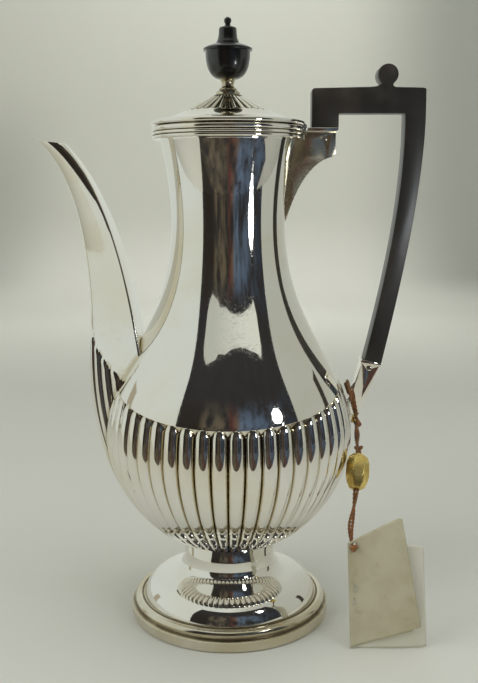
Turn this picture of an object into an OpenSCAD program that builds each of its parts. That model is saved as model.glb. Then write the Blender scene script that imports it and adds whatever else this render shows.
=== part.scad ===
// Half-fluted silver coffee pot on a round foot, with a hinged lid, a wooden
// urn finial and a pinned wooden handle. Millimetres, +Z up. The origin is the
// centre of the foot on the table, the spout points to -X, the handle to +X.

/* [Foot] */
// Outer radius of the band that stands on the table
foot_r = 42.9; // [38:0.1:48]
// Height of that upright band
foot_band_h = 4.4; // [3:0.1:6]
// Height of the reeded moulding above the band
foot_mould_h = 3.9; // [3:0.1:5]
// Radius of the seam between the moulding and the domed foot
foot_seam_r = 37.2; // [34:0.1:37.8]
// Rise of the domed foot from its seam to the narrow stem
foot_dome_h = 16.2; // [13:0.1:22]
// Radius of the narrow stem
stem_r = 19.1; // [16:0.1:21]
// Height from the narrow stem to the bottom of the bowl
stem_flare_h = 9; // [7:0.1:11]
// How far the stem flares out to the bottom of the bowl
stem_flare = 2.4; // [1.5:0.1:4]
// Sheet thickness of the foot
foot_wall = 1; // [0.8:0.1:1.6]
// Width of the ring of the foot that touches the table
foot_ring_w = 2.9; // [2:0.1:4]

/* [Body] */
// Radius of the body at its widest
belly_r = 51.5; // [48:0.1:55]
// Height of the widest place above the bottom of the bowl
belly_h = 45.5; // [40:0.5:52]
// Radius of the neck at its narrowest
neck_r = 23.5; // [21:0.1:27]
// Height of the narrowest neck above the widest place
neck_h = 90; // [80:1:100]
// Radius of the body's wall at the mouth
mouth_r = 27.8; // [26:0.1:30]
// Height of the flared mouth above the narrowest neck
mouth_h = 33; // [28:0.5:40]
// Sheet thickness of the body
body_wall = 0.9; // [0.7:0.1:1.4]
// Thickness of the bowl's floor
floor_t = 1.2; // [0.8:0.1:2]

/* [Gadroons] */
// Number of raised lobes around the bowl
lobe_count = 48; // [40:4:56]
// How far a lobe's crest stands out from the wall
lobe_rise = 0.6; // [0.3:0.1:1]
// How far the groove between two lobes goes in
lobe_depth = 0.7; // [0.3:0.1:1]
// Height of the lobes' round tops above the widest place, midway between spout and handle
lobe_top_h = 13.8; // [11:0.1:16]
// How much higher the tops climb towards the spout and the handle
lobe_climb = 10.5; // [6:0.1:12]
// Length of a lobe's round top
lobe_end = 3.2; // [2.4:0.1:4]

/* [Reeded rim] */
// Radius of the top reed's section
reed_a = 1.2; // [1:0.05:1.4]
// Radius of the middle reed's section
reed_b = 0.6; // [0.5:0.05:0.8]
// Radius of the bottom reed's section
reed_c = 0.8; // [0.6:0.05:1]
// How far the top reed stands out from the wall
reed_out = 3.3; // [3:0.1:3.8]

/* [Lid] */
// How far the lid's edge stands out from the mouth's wall
lid_out = 3.8; // [3.4:0.1:5]
// Thickness of the lid's edge
lid_edge_h = 2.2; // [1.8:0.1:2.8]
// Radial width of the moulded edge
lid_edge_w = 3.4; // [3:0.1:3.8]
// Gap between the closed lid and the rim
lid_gap = 0.3; // [0.2:0.05:0.5]
// Radius at which the flutes end
crown_r = 18; // [16:0.1:20]
// Height of the flutes' outer ends above the lid's edge
crown_h = 3.4; // [2.5:0.1:4.5]
// Radius of the flat top of the lid
crown_top_r = 5; // [4.6:0.1:6]
// Height of the fluted cone
cone_h = 6.9; // [5:0.1:9]
// Number of hollow flutes
flute_count = 32; // [24:2:36]
// Depth of a flute
flute_depth = 0.6; // [0.3:0.1:0.8]
// Sheet thickness of the lid
lid_wall = 0.9; // [0.7:0.1:1.2]
// Clearance between the bezel and the mouth
bezel_gap = 0.5; // [0.4:0.05:0.8]
// Depth of the bezel below the rim
bezel_h = 5; // [3:0.5:8]

/* [Finial] */
// Height of the silver collar
collar_h = 5.9; // [4:0.1:8]
// Radius of the collar's foot
collar_r = 4.9; // [4:0.1:4.9]
// Radius of the urn's bottom
urn_foot_r = 3.3; // [2.8:0.1:3.8]
// Radius of the urn's bowl
urn_r = 9.05; // [8:0.05:10]
// Height of the urn's bowl
urn_h = 10.8; // [9:0.1:13]
// Radius of the urn's lip
urn_lip_r = 9.85; // [9.5:0.05:11]
// Height from the underside of the lip to the cap
urn_lip_h = 3.1; // [2.5:0.1:4]
// Radius of the cap's stem
cap_r = 3.6; // [3:0.1:4.2]
// Height of the cap up to its shoulder
cap_h = 6.6; // [5:0.1:8]
// Radius of the small ball
ball_r = 1.5; // [1:0.1:2]
// Radius of the bolt through the finial
bolt_r = 1; // [0.8:0.05:1.2]

/* [Hinge] */
// Distance of the hinge pin's axis outside the mouth's wall
hinge_out = 2.6; // [2.4:0.1:3]
// Height of the hinge pin's axis below the top of the rim
hinge_drop = 0.4; // [0.2:0.05:0.8]
// Outer radius of the knuckles
knuckle_r = 1.25; // [1.1:0.05:1.4]
// Length of the hinge along its pin
hinge_w = 14; // [12:0.5:16]
// Radius of the hinge pin
hinge_pin_r = 0.6; // [0.5:0.05:0.7]
// Radial clearance of the hinge pin in its knuckles
pin_fit = 0.04; // [0.02:0.01:0.08]

/* [Handle] */
// Thickness of the wooden handle
handle_t = 9; // [7:0.5:11]
// Distance of the front leg from the hinge pin's axis
leg_out = 3.3; // [2.6:0.1:3.5]
// Width of the front leg
leg_w = 10.9; // [10:0.1:13]
// Height of the front leg above its socket
leg_h = 15.6; // [14:0.1:18]
// Depth of the level top bar
bar_h = 10; // [8:0.1:11]
// Distance from the front leg's inner side to the grip's outer side
bar_l = 35; // [32:0.1:40]
// Width of the grip at the top
grip_w = 8.3; // [7:0.1:10]
// Width of the grip at its lower end
grip_end_w = 7.3; // [6:0.1:8]
// Radius of the thumb piece's disc
thumb_r = 4.1; // [3.5:0.1:5]
// Height of the disc's centre above the top bar
thumb_h = 5.2; // [4.6:0.1:6]
// Radius of the pins that hold the wood
handle_pin_r = 0.9; // [0.7:0.05:1.1]

/* [Sockets] */
// Sheet thickness of the sockets
socket_wall = 0.9; // [0.7:0.1:1.2]
// Clearance of the wood in its sockets
wood_fit = 0.1; // [0.05:0.05:0.2]
// Depth of the upper socket
upper_socket_h = 11; // [9:0.5:14]
// Length of the bracket from the mouth down the neck
bracket_h = 36; // [30:1:42]
// Height of the bands round the socket mouths
band_h = 1.4; // [1:0.1:2]
// Distance of the lower joint outside the belly
lower_joint_out = 8.4; // [7:0.1:10]
// Height of the lower joint above the widest place
lower_joint_h = 31.7; // [29:0.1:34]
// Tilt of the lower joint
lower_tilt = 12; // [6:0.5:16]
// Height of the lower arm's tip above the widest place
arm_tip_h = 4.5; // [2:0.5:8]

/* [Spout] */
// Height of the spout's beak above the widest place
spout_tip_h = 122.8; // [115:0.5:126]
// Distance of the beak from the pot's axis
spout_reach = 77.6; // [74:0.1:82]
// Length of the open mouth behind the beak
spout_mouth_l = 11.1; // [9:0.1:13]
// Half width of the spout where it leaves the body
spout_root_w = 16; // [14:0.1:17]
// Half width of the spout at its mouth
spout_tip_w = 4.4; // [4:0.1:5.5]
// Sheet thickness of the spout
spout_wall = 1; // [0.8:0.1:1.2]
// Radius of each hole in the strainer behind the spout
strainer_hole_r = 1.3; // [1:0.1:1.5]
// Distance between two holes of the strainer
strainer_pitch = 4.6; // [4:0.1:5]

/* [Hidden] */

SILVER = [0.82, 0.81, 0.78];
EBONY = [0.10, 0.07, 0.06];
GOLD = [0.78, 0.60, 0.18];
CREAM = [0.86, 0.82, 0.68];
RUST = [0.62, 0.34, 0.12];

$fn = 96;

// Heights above the table, stacked from the foot up
seam_z = foot_band_h + foot_mould_h;
stem_z = seam_z + foot_dome_h;
bowl_z = stem_z + stem_flare_h;
bowl_r = stem_r + stem_flare;
belly_z = bowl_z + belly_h;
neck_z = belly_z + neck_h;
rim_h = 2 * (reed_a + reed_b + reed_c);
rim_z = neck_z + mouth_h;
rim_top = rim_z + rim_h;
lid_z = rim_top + lid_gap;
lid_top = lid_z + lid_edge_h;
crown_z = lid_top + crown_h;
cone_top = crown_z + cone_h;
urn_z = cone_top + collar_h;
urn_lip_z = urn_z + urn_h;
cap_z = urn_lip_z + urn_lip_h;

// A cubic curve through its two end points, steered by the two between
function bezier(p, t) =
    pow(1 - t, 3) * p[0] + 3 * pow(1 - t, 2) * t * p[1] + 3 * (1 - t) * t * t * p[2] + pow(t, 3) * p[3];
function curve(p, n) = [for (i = [0 : n]) bezier(p, i / n)];

// Points of an arc in the plane of a turned section
function arc(c, r, a0, a1, n) =
    [for (i = [0 : n]) c + r * [cos(a0 + (a1 - a0) * i / n), sin(a0 + (a1 - a0) * i / n)]];
function reversed(list) = [for (i = [len(list) - 1 : -1 : 0]) list[i]];

// The wall of the body in section: bowl, shoulder and neck
bowl_curve = curve([[bowl_r, bowl_z], [bowl_r + 11, bowl_z + 4.5], [belly_r, belly_z - 22], [belly_r, belly_z]], 14);
shoulder_curve = curve([[belly_r, belly_z], [belly_r, belly_z + 32], [neck_r, neck_z - 45], [neck_r, neck_z]], 20);
neck_curve = curve([[neck_r, neck_z], [neck_r, neck_z + 14], [mouth_r - 1.2, rim_z - 4.5], [mouth_r, rim_z]], 8);
wall_points = concat(bowl_curve, [for (i = [1 : 20]) shoulder_curve[i]], [for (i = [1 : 8]) neck_curve[i]]);
wall_table = [for (p = wall_points) [p[1], p[0]]];
function wall_r(z) = lookup(z, wall_table);

// Height at which a lobe ends, at angle a around the pot
lobe_top_z = belly_z + lobe_top_h;
lobed_top = lobe_top_z + lobe_climb + 3;
function lobe_end_z(a) = lobe_top_z + lobe_climb * (1 - abs(sin(a)));
// Half angle, seen from the axis, that the spout covers at height z
function spout_angle(z) = lookup(z, [[bowl_z + 14, 0], [belly_z, 10], [belly_z + 20, 18], [belly_z + 40, 24]]);
function under_spout(a, z) = abs(a - 180) < spout_angle(z);

// Every lobe has four columns of points
LOBE_STEPS = [-0.5, -0.33, 0, 0.33];
lobe_columns = 4 * lobe_count;
lobe_pitch = 360 / lobe_count;
function column_angle(c) =
    (floor(c / 4) + 0.5 + LOBE_STEPS[c % 4]) * lobe_pitch;
function lobe_shape(c) = sqrt(1 - 4 * pow(LOBE_STEPS[c % 4], 2));
function lobe_fade(d) = d >= lobe_end ? 1 : d <= 0 ? 0 : sqrt(1 - pow(1 - d / lobe_end, 2));
function lobe_r(c, z) =
    let (
        a = column_angle(c),
        size = lobe_fade(lobe_end_z(a) - z) * pow(wall_r(z) / belly_r, 0.8),
        out = (lobe_rise + lobe_depth) * lobe_shape(c) - lobe_depth
    )
    wall_r(z) + (under_spout(a, z) ? lobe_rise : out * size);

// The gadrooned bowl as one closed solid, which the cavity is cut from
LOBE_ROWS = 12;
DOME_ROWS = 20;
PLAIN_ROWS = 3;
module lobed_bowl() {
    row_z = function (a, k)
        k <= LOBE_ROWS - 3 ? bowl_z + (lobe_end_z(a) - lobe_end - bowl_z) * k / (LOBE_ROWS - 3)
        : k <= LOBE_ROWS ? lobe_end_z(a) - lobe_end + lobe_end * (k - LOBE_ROWS + 3) / 3
        : lobe_end_z(a) + (lobed_top - lobe_end_z(a)) * (k - LOBE_ROWS) / PLAIN_ROWS;
    n = lobe_columns;
    rows = LOBE_ROWS + PLAIN_ROWS;
    points = [for (k = [0 : rows]) for (c = [0 : n - 1])
        let (a = column_angle(c), z = row_z(a, k), r = lobe_r(c, z))
        [r * cos(a), r * sin(a), z]];
    sides = [for (k = [0 : rows - 1]) for (c = [0 : n - 1])
        let (d = (c + 1) % n)
        each [[k * n + c, (k + 1) * n + c, (k + 1) * n + d], [k * n + c, (k + 1) * n + d, k * n + d]]];
    bottom = [for (c = [0 : n - 1]) c];
    top = [for (c = [n - 1 : -1 : 0]) rows * n + c];
    polyhedron(points, concat(sides, [bottom, top]));
}

// Outside of the body with the lobes' crests filled in, for what seats against it
module body_outside() {
    proud = lobe_rise + 0.04;
    low = [for (p = wall_points) if (p[1] < lobed_top) [p[0] + proud, p[1]]];
    high = [for (p = wall_points) if (p[1] > lobed_top) p];
    rotate_extrude()
        polygon(concat(
            [[0, bowl_z]], low, [[wall_r(lobed_top) + proud, lobed_top], [wall_r(lobed_top), lobed_top]],
            high, [[0, rim_z]]));
}

module body_cavity() {
    inset = function (z) body_wall + (z < lobed_top ? lobe_depth : 0);
    inner = [for (p = wall_points) if (p[1] > bowl_z + 4) [p[0] - inset(p[1]), p[1]]];
    floor_z = bowl_z + floor_t;
    rotate_extrude()
        polygon(concat(
            [[0, floor_z], [bowl_r - 1, floor_z + 0.6]], inner,
            [[mouth_r - body_wall, rim_top + 1], [0, rim_top + 1]]));
}

// The strainer is a patch of holes drilled through the wall behind the spout
module strainer_holes() {
    for (row = [-2 : 2])
        for (i = [-2 : 2])
            if (abs(i + (row % 2) / 2) <= 2 && abs(row) + abs(i) <= 3)
                translate([-belly_r - 3, (i + (row % 2) / 2) * strainer_pitch, lobe_top_z + row * strainer_pitch * 0.87])
                    rotate([0, 90, 0])
                        cylinder(r = strainer_hole_r, h = 18, $fn = 24);
}

module body() {
    joint_r = wall_r(lobed_top) - 0.05;
    upper = [for (p = wall_points) if (p[1] > lobed_top) p];
    color(SILVER)
        difference() {
            union() {
                lobed_bowl();
                rotate_extrude()
                    polygon(concat(
                        [[0, lobed_top - 1], [joint_r - 1, lobed_top - 1], [joint_r, lobed_top]],
                        upper, [[mouth_r, rim_top], [0, rim_top]]));
            }
            body_cavity();
            strainer_holes();
        }
}

// Space that the hinge takes out of the rim and out of the lid's edge
hinge_x = mouth_r + hinge_out;
hinge_z = rim_top - hinge_drop;
leaf_t = 0.35;
knuckle_gap = 0.3;
seat_z = hinge_z - knuckle_r - knuckle_gap - leaf_t;
hinge_slot_w = hinge_w + 2 * knuckle_gap;
hinge_slot_x = hinge_x - knuckle_r - knuckle_gap;

// One reed in section: a round edge on a strip that reaches the wall
module reed(z, r, out) {
    translate([mouth_r, z - r])
        square([out - r, 2 * r]);
    translate([mouth_r + out - r, z])
        circle(r = r, $fn = 32);
}

module body_rim() {
    color(SILVER)
        difference() {
            rotate_extrude() {
                reed(rim_top - reed_a, reed_a, reed_out);
                reed(rim_z + 2 * reed_c + reed_b, reed_b, reed_out - 0.5);
                reed(rim_z + reed_c, reed_c, reed_out - 1.1);
            }
            translate([hinge_slot_x, -hinge_slot_w / 2, seat_z])
                cube([10, hinge_slot_w, 10]);
        }
}

module foot() {
    waist = [stem_r, stem_z - 0.59 * foot_dome_h];
    bulge = [foot_seam_r - 2.7, seam_z + 0.78 * foot_dome_h];
    dome = curve([[stem_r, stem_z], waist, bulge, [foot_seam_r, seam_z]], DOME_ROWS);
    flare = curve([[bowl_r, bowl_z], [bowl_r - 1.6, bowl_z - 3.5], [stem_r, stem_z + 3], [stem_r, stem_z]], 6);
    outer = concat(flare, [for (i = [1 : DOME_ROWS]) dome[i]]);
    inner = [for (p = reversed(outer)) [p[0] - foot_wall, p[1] - (p[1] < stem_z ? foot_wall : 0)]];
    color(SILVER)
        rotate_extrude()
            polygon(concat(outer, inner));
}

module foot_rim() {
    step_z = foot_band_h + 1.2;
    crest = foot_seam_r + 2.2;
    color(SILVER)
        rotate_extrude()
            polygon(concat(
                [[foot_r - foot_ring_w, 0], [foot_r, 0], [foot_r, foot_band_h]],
                [[foot_r - 1.4, foot_band_h + 0.3], [foot_r - 1.6, step_z]],
                arc([crest, step_z + 0.4], seam_z + 0.3 - step_z - 0.4, 30, 120, 6),
                [[foot_seam_r, seam_z], [foot_seam_r, seam_z - foot_wall]],
                [[foot_seam_r - 1.2, seam_z - foot_wall], [foot_seam_r - 1.2, seam_z - 2.2]],
                [[foot_r - foot_ring_w, foot_band_h - 1]]));
}

// ---- Spout -------------------------------------------------------------

tip_z = belly_z + spout_tip_h;
// Where the smooth spout rises out of the gadrooned root
collar_z = belly_z + 43;
collar_x = belly_r + 6.5;
// The flat inner face at the same height
face_x = belly_r - 15.5;
face_z = belly_z + 37;
outer_low = [[-face_x - 4, bowl_z + 13.5], [-belly_r - 2.5, belly_z - 17], [-collar_x - 2.5, collar_z - 30], [-collar_x, collar_z]];
outer_high = [[-collar_x, collar_z], [-collar_x + 0.8, collar_z + 28], [-collar_x - 3, tip_z - 13.8], [-spout_reach, tip_z]];
inner_low = [[14 - face_x, bowl_z + 21.5], [10 - face_x, belly_z - 5], [4 - face_x, face_z - 17], [-face_x, face_z]];
inner_high = [
    [-face_x, face_z], [-face_x - 4, face_z + 24],
    [-face_x - 11, tip_z - 21.8], [-spout_reach + spout_mouth_l, tip_z - 1.2]];
SPOUT_ROWS = 8;
// One row of the spout is the line from its outer edge to its inner face
spout_outer = concat(curve(outer_low, SPOUT_ROWS), [for (i = [1 : SPOUT_ROWS]) bezier(outer_high, i / SPOUT_ROWS)]);
spout_inner = concat(curve(inner_low, SPOUT_ROWS), [for (i = [1 : SPOUT_ROWS]) bezier(inner_high, i / SPOUT_ROWS)]);
function spout_half_w(k) =
    k <= SPOUT_ROWS ? spout_root_w + 4 * (1 - pow(k / SPOUT_ROWS, 2))
    : spout_tip_w + (spout_root_w - spout_tip_w) * pow(1 - (k - SPOUT_ROWS) / SPOUT_ROWS, 0.85);

// A section runs round the outer nose, from crease to crease, and closes with
// the flat inner face. Its sides are full at the root and at the mouth, and
// flatter between. Its lobes end on a line that falls towards the body.
SPOUT_LOBES = 12;
LOBE_COLUMNS = 3;
CHANNEL_STEPS = 12;
function spout_lobe(f, z) =
    let (
        top = collar_z - 24 * abs(2 * f - 1),
        across = f * SPOUT_LOBES - floor(f * SPOUT_LOBES) - 0.5,
        out = (lobe_rise + lobe_depth) * sqrt(1 - 4 * pow(across, 2)) - lobe_depth / 2
    )
    out * lobe_fade(top - z);
function spout_section(k, steps, shrink, lobed) =
    let (
        o = spout_outer[k],
        i = spout_inner[k],
        round_side = pow(max(0, k / SPOUT_ROWS - 1.4) / 0.6, 1.5),
        fullness = 1.5 * round_side + 1.1 * max(0, 1 - k / SPOUT_ROWS) - 0.5,
        w = spout_half_w(k) - (1.8 - 0.8 * round_side) * shrink,
        l = norm(o - i) - 2 * shrink,
        u = (o - i) / norm(o - i)
    )
    [for (j = [0 : steps])
        let (
            side = 1 - 2 * j / steps,
            t = 1 - pow(abs(side), 1.5),
            out = lobed ? min(1, k / 2) * spout_lobe(j / steps, ((o + i) / 2)[1]) : 0,
            d = shrink + (l + out) * t
        )
        [i[0] + u[0] * d, sign(side) * (w + out) * sqrt((1 - t) * (1 + fullness * t)), i[1] + u[1] * d]];

module loft(rings) {
    n = len(rings[0]);
    m = len(rings);
    points = [for (ring = rings) each ring];
    sides = [for (k = [0 : m - 2]) for (c = [0 : n - 1])
        let (d = (c + 1) % n)
        each [[k * n + c, (k + 1) * n + c, (k + 1) * n + d], [k * n + c, (k + 1) * n + d, k * n + d]]];
    polyhedron(points, concat(sides, [[for (c = [0 : n - 1]) c], [for (c = [n - 1 : -1 : 0]) (m - 1) * n + c]]));
}

// The body as the spout meets it: a faceted sector of its outside
module spout_seat() {
    low = [for (p = wall_points) if (p[1] > bowl_z + 4 && p[1] < lobed_top) [p[0] + lobe_rise + 0.07, p[1]]];
    high = [for (p = wall_points) if (p[1] > lobed_top && p[1] < neck_z - 15) [p[0] + 0.03, p[1]]];
    top_r = wall_r(lobed_top);
    rows = concat(low, [[top_r + lobe_rise + 0.07, lobed_top], [top_r + 0.03, lobed_top + 0.2]], high);
    loft([for (p = rows)
        concat([[0, 0, p[1]]], [for (a = [132 : 4 : 228]) [p[0] * cos(a), p[0] * sin(a), p[1]]])]);
}

module spout() {
    last = 2 * SPOUT_ROWS;
    channel = [for (k = [0 : 2 : last - 2]) spout_section(k, CHANNEL_STEPS, spout_wall, false)];
    lip = [for (p = spout_section(last, CHANNEL_STEPS, spout_wall, false)) p + [-0.6, 0, 2]];
    color(SILVER)
        difference() {
            loft([for (k = [0 : last]) spout_section(k, LOBE_COLUMNS * SPOUT_LOBES, 0, true)]);
            loft(concat(channel, [lip]));
            spout_seat();
        }
}

// ---- Lid ---------------------------------------------------------------

lid_r = mouth_r + lid_out;
lid_inner_r = lid_r - lid_edge_w;
bezel_r = mouth_r - body_wall - bezel_gap;
lid_under = lid_top - lid_wall;
bezel_t = 0.9;

module hinge_slot() {
    translate([hinge_slot_x, -hinge_slot_w / 2, lid_z - 1])
        cube([10, hinge_slot_w, 10]);
}

module lid_rim() {
    bead = 0.8;
    round_edge = arc([lid_r - bead, lid_z + bead], bead, -90, 50, 6);
    top_edge = curve([round_edge[6], [lid_r - 1, lid_z + 1.9], [lid_inner_r + 1, lid_top], [lid_inner_r, lid_top]], 5);
    color(SILVER)
        difference() {
            rotate_extrude()
                polygon(concat(round_edge, top_edge, [[lid_inner_r, lid_z]]));
            hinge_slot();
        }
}

// The fluted cone: every flute has four columns of points
flute_columns = 4 * flute_count;
FLUTE_ROWS = 6;
function flute_point(c, k) =
    let (
        a = c * 360 / flute_columns,
        s = k / FLUTE_ROWS,
        r = crown_r + (crown_top_r - crown_r) * s,
        hollow = 1 - 4 * pow((c % 4) / 4 - 0.5, 2),
        depth = flute_depth * hollow * min(1, 4 * s, 4 * (1 - s)) * r / crown_r
    )
    [r * cos(a), r * sin(a), crown_z + 0.05 + (cone_h - 0.05) * s - depth];
module fluted_cone() {
    foot_ring = [for (c = [0 : flute_columns - 1])
        let (a = c * 360 / flute_columns) [crown_r * cos(a), crown_r * sin(a), crown_z - 1.2]];
    loft([
        foot_ring,
        each [for (k = [0 : FLUTE_ROWS]) [for (c = [0 : flute_columns - 1]) flute_point(c, k)]]
    ]);
}

module lid() {
    skin = lid_wall + flute_depth;
    color(SILVER)
        difference() {
            union() {
                rotate_extrude()
                    polygon([
                        [0, lid_under], [lid_inner_r, lid_under], [lid_inner_r, lid_top],
                        [lid_inner_r - 3, lid_top + 0.4], [crown_r + 4, lid_top + 1.6],
                        [crown_r + 0.2, crown_z], [0, crown_z]]);
                fluted_cone();
            }
            rotate_extrude()
                polygon([
                    [0, lid_under - 1], [bezel_r - 2, lid_under - 1], [bezel_r - 2, lid_under],
                    [crown_r + 3.6, lid_top + 0.7], [crown_r - 0.4, crown_z - skin],
                    [crown_top_r, cone_top - skin], [0, cone_top - skin]]);
            cylinder(r = bolt_r + pin_fit, h = cone_top + 1, $fn = 32);
        }
}

module lid_bezel() {
    color(SILVER)
        translate([0, 0, rim_top - bezel_h])
            difference() {
                cylinder(r = bezel_r, h = lid_under - rim_top + bezel_h);
                translate([0, 0, -1])
                    cylinder(r = bezel_r - bezel_t, h = 20);
            }
}

// ---- Finial, a turned wooden urn held by one bolt ------------------------

nut_h = 2;
washer_h = 0.6;
bolt_bottom = cone_top - lid_wall - flute_depth - washer_h - nut_h - 0.7;
bolt_top = cap_z + cap_h - 2.5;

module bolt_bore(z0, z1) {
    translate([0, 0, z0 - 1])
        cylinder(r = bolt_r + pin_fit, h = z1 - z0 + 2, $fn = 32);
}

module finial_collar() {
    color(SILVER)
        difference() {
            rotate_extrude()
                polygon(concat(
                    [[0, cone_top], [collar_r, cone_top], [collar_r, cone_top + 0.8]],
                    [[collar_r - 1, cone_top + 1.4], [urn_foot_r, cone_top + collar_h * 0.4]],
                    curve([
                        [urn_foot_r - 0.2, cone_top + collar_h * 0.42], [urn_foot_r - 1.2, cone_top + collar_h * 0.55],
                        [urn_foot_r - 1.1, cone_top + collar_h * 0.8], [urn_foot_r, urn_z]], 6),
                    [[0, urn_z]]));
            bolt_bore(cone_top, urn_z);
        }
}

module finial_urn() {
    bowl = curve([[urn_foot_r, urn_z], [urn_r - 2.2, urn_z + 0.5], [urn_r, urn_z + 3.8], [urn_r, urn_lip_z]], 12);
    color(EBONY)
        difference() {
            rotate_extrude()
                polygon(concat(
                    [[0, urn_z]], bowl,
                    [[urn_lip_r, urn_lip_z + 0.3], [urn_lip_r, urn_lip_z + 1.3]],
                    [[urn_lip_r - 2.3, urn_lip_z + 2.4], [cap_r + 1.2, cap_z], [0, cap_z]]));
            bolt_bore(urn_z, cap_z);
        }
}

module finial_cap() {
    shoulder = cap_z + cap_h;
    neck_r = ball_r * 0.7;
    color(EBONY)
        difference() {
            rotate_extrude()
                polygon(concat(
                    [[0, cap_z], [cap_r + 1.1, cap_z], [cap_r + 0.8, cap_z + 0.9], [cap_r + 0.35, cap_z + 2.2]],
                    [[cap_r + 0.05, cap_z + 3.8]],
                    [[cap_r, shoulder - 1.1], [cap_r - 0.4, shoulder - 0.4], [neck_r + 0.4, shoulder]],
                    arc([0, shoulder + 0.7 + ball_r], ball_r, -45, 90, 10)));
            translate([0, 0, cap_z - 1])
                cylinder(r = bolt_r + pin_fit, h = bolt_top - cap_z + 1.2, $fn = 32);
        }
}

module finial_bolt() {
    color(SILVER)
        translate([0, 0, bolt_bottom])
            cylinder(r = bolt_r, h = bolt_top - bolt_bottom, $fn = 32);
}

module finial_washer() {
    z = cone_top - lid_wall - flute_depth - washer_h;
    color(SILVER)
        translate([0, 0, z])
            difference() {
                cylinder(r = 2.6 * bolt_r + 0.6, h = washer_h);
                translate([0, 0, -1])
                    cylinder(r = bolt_r + pin_fit, h = 3, $fn = 32);
            }
}

module finial_nut() {
    color(SILVER)
        translate([0, 0, bolt_bottom + 0.7])
            difference() {
                cylinder(r = 2.5 * bolt_r, h = nut_h, $fn = 6);
                translate([0, 0, -1])
                    cylinder(r = bolt_r + pin_fit, h = nut_h + 2, $fn = 32);
            }
}

// ---- Hinge ---------------------------------------------------------------

KNUCKLES = 5;
knuckle_l = hinge_w / KNUCKLES;
module along_pin(y, l, r) {
    translate([hinge_x, y, hinge_z])
        rotate([-90, 0, 0])
            cylinder(r = r, h = l, $fn = 48);
}
// Knuckles of one leaf: every second one, counted from first
module knuckles(first) {
    for (k = [first : 2 : KNUCKLES - 1])
        along_pin(-hinge_w / 2 + k * knuckle_l + 0.1, knuckle_l - 0.2, knuckle_r);
}
module pin_hole() {
    along_pin(-hinge_w, 2 * hinge_w, hinge_pin_r + pin_fit);
}

module pot_hinge_leaf() {
    web = knuckle_r * 1.4;
    color(SILVER)
        difference() {
            union() {
                knuckles(0);
                for (k = [0 : 2 : KNUCKLES - 1])
                    translate([hinge_x - web / 2, -hinge_w / 2 + k * knuckle_l + 0.1, seat_z])
                        cube([web, knuckle_l - 0.2, hinge_z - seat_z]);
                translate([hinge_slot_x, -hinge_w / 2, seat_z])
                    cube([hinge_x + knuckle_r + 0.3 - hinge_slot_x, hinge_w, leaf_t]);
            }
            pin_hole();
        }
}

module lid_hinge_leaf() {
    color(SILVER)
        difference() {
            union() {
                knuckles(1);
                for (k = [1 : 2 : KNUCKLES - 1])
                    translate([hinge_slot_x, -hinge_w / 2 + k * knuckle_l + 0.1, hinge_z + 0.3])
                        cube([hinge_x - hinge_slot_x, knuckle_l - 0.2, knuckle_r - 0.35]);
                translate([hinge_slot_x, -hinge_w / 2, lid_z + 0.2])
                    cube([knuckle_gap - 0.05, hinge_w, lid_edge_h - 0.4]);
            }
            pin_hole();
        }
}

module hinge_pin() {
    color(SILVER)
        along_pin(-hinge_w / 2, hinge_w, hinge_pin_r);
}

// ---- Handle and its sockets ------------------------------------------------

leg_x = hinge_x + leg_out;
leg_in = leg_x + leg_w;
leg_bottom = rim_top - 0.6;
band_x = hinge_x + knuckle_r + 0.5;
bar_top = leg_bottom + leg_h;
grip_x = leg_in + bar_l;
joint_x = belly_r + lower_joint_out;
joint_z = belly_z + lower_joint_h;
tenon_top_w = leg_w - 3.2;
tenon_low_w = grip_end_w - 1.6;
tenon_low_h = 13;

// Places in the lower joint's own frame: w across the grip, h along it
function at_joint(w, h) =
    [joint_x + w * cos(lower_tilt) + h * sin(lower_tilt), joint_z - w * sin(lower_tilt) + h * cos(lower_tilt)];

// Extrudes a side view drawn in X and Z over the width w, centred on the pot's plane
module side_plate(w) {
    rotate([90, 0, 0])
        translate([0, 0, -w / 2])
            linear_extrude(w)
                children();
}

module along_y(x, z, r, l) {
    translate([x, -l / 2, z])
        rotate([-90, 0, 0])
            cylinder(r = r, h = l, $fn = 32);
}

upper_pin_x = leg_in - 5.7;
upper_pin_z = leg_bottom - 4.3;
lower_pin = at_joint(-0.2, -3.2);

// The thumb piece's disc, turned, with a round edge on both faces
module thumb_disc() {
    half = handle_t / 2;
    rotate([90, 0, 0])
        rotate_extrude($fn = 48)
            polygon([
                [0, -half], [thumb_r - 1.6, -half], [thumb_r - 0.5, -half + 0.8], [thumb_r, -half + 2.2],
                [thumb_r, half - 2.2], [thumb_r - 0.5, half - 0.8], [thumb_r - 1.6, half], [0, half]]);
}

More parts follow.
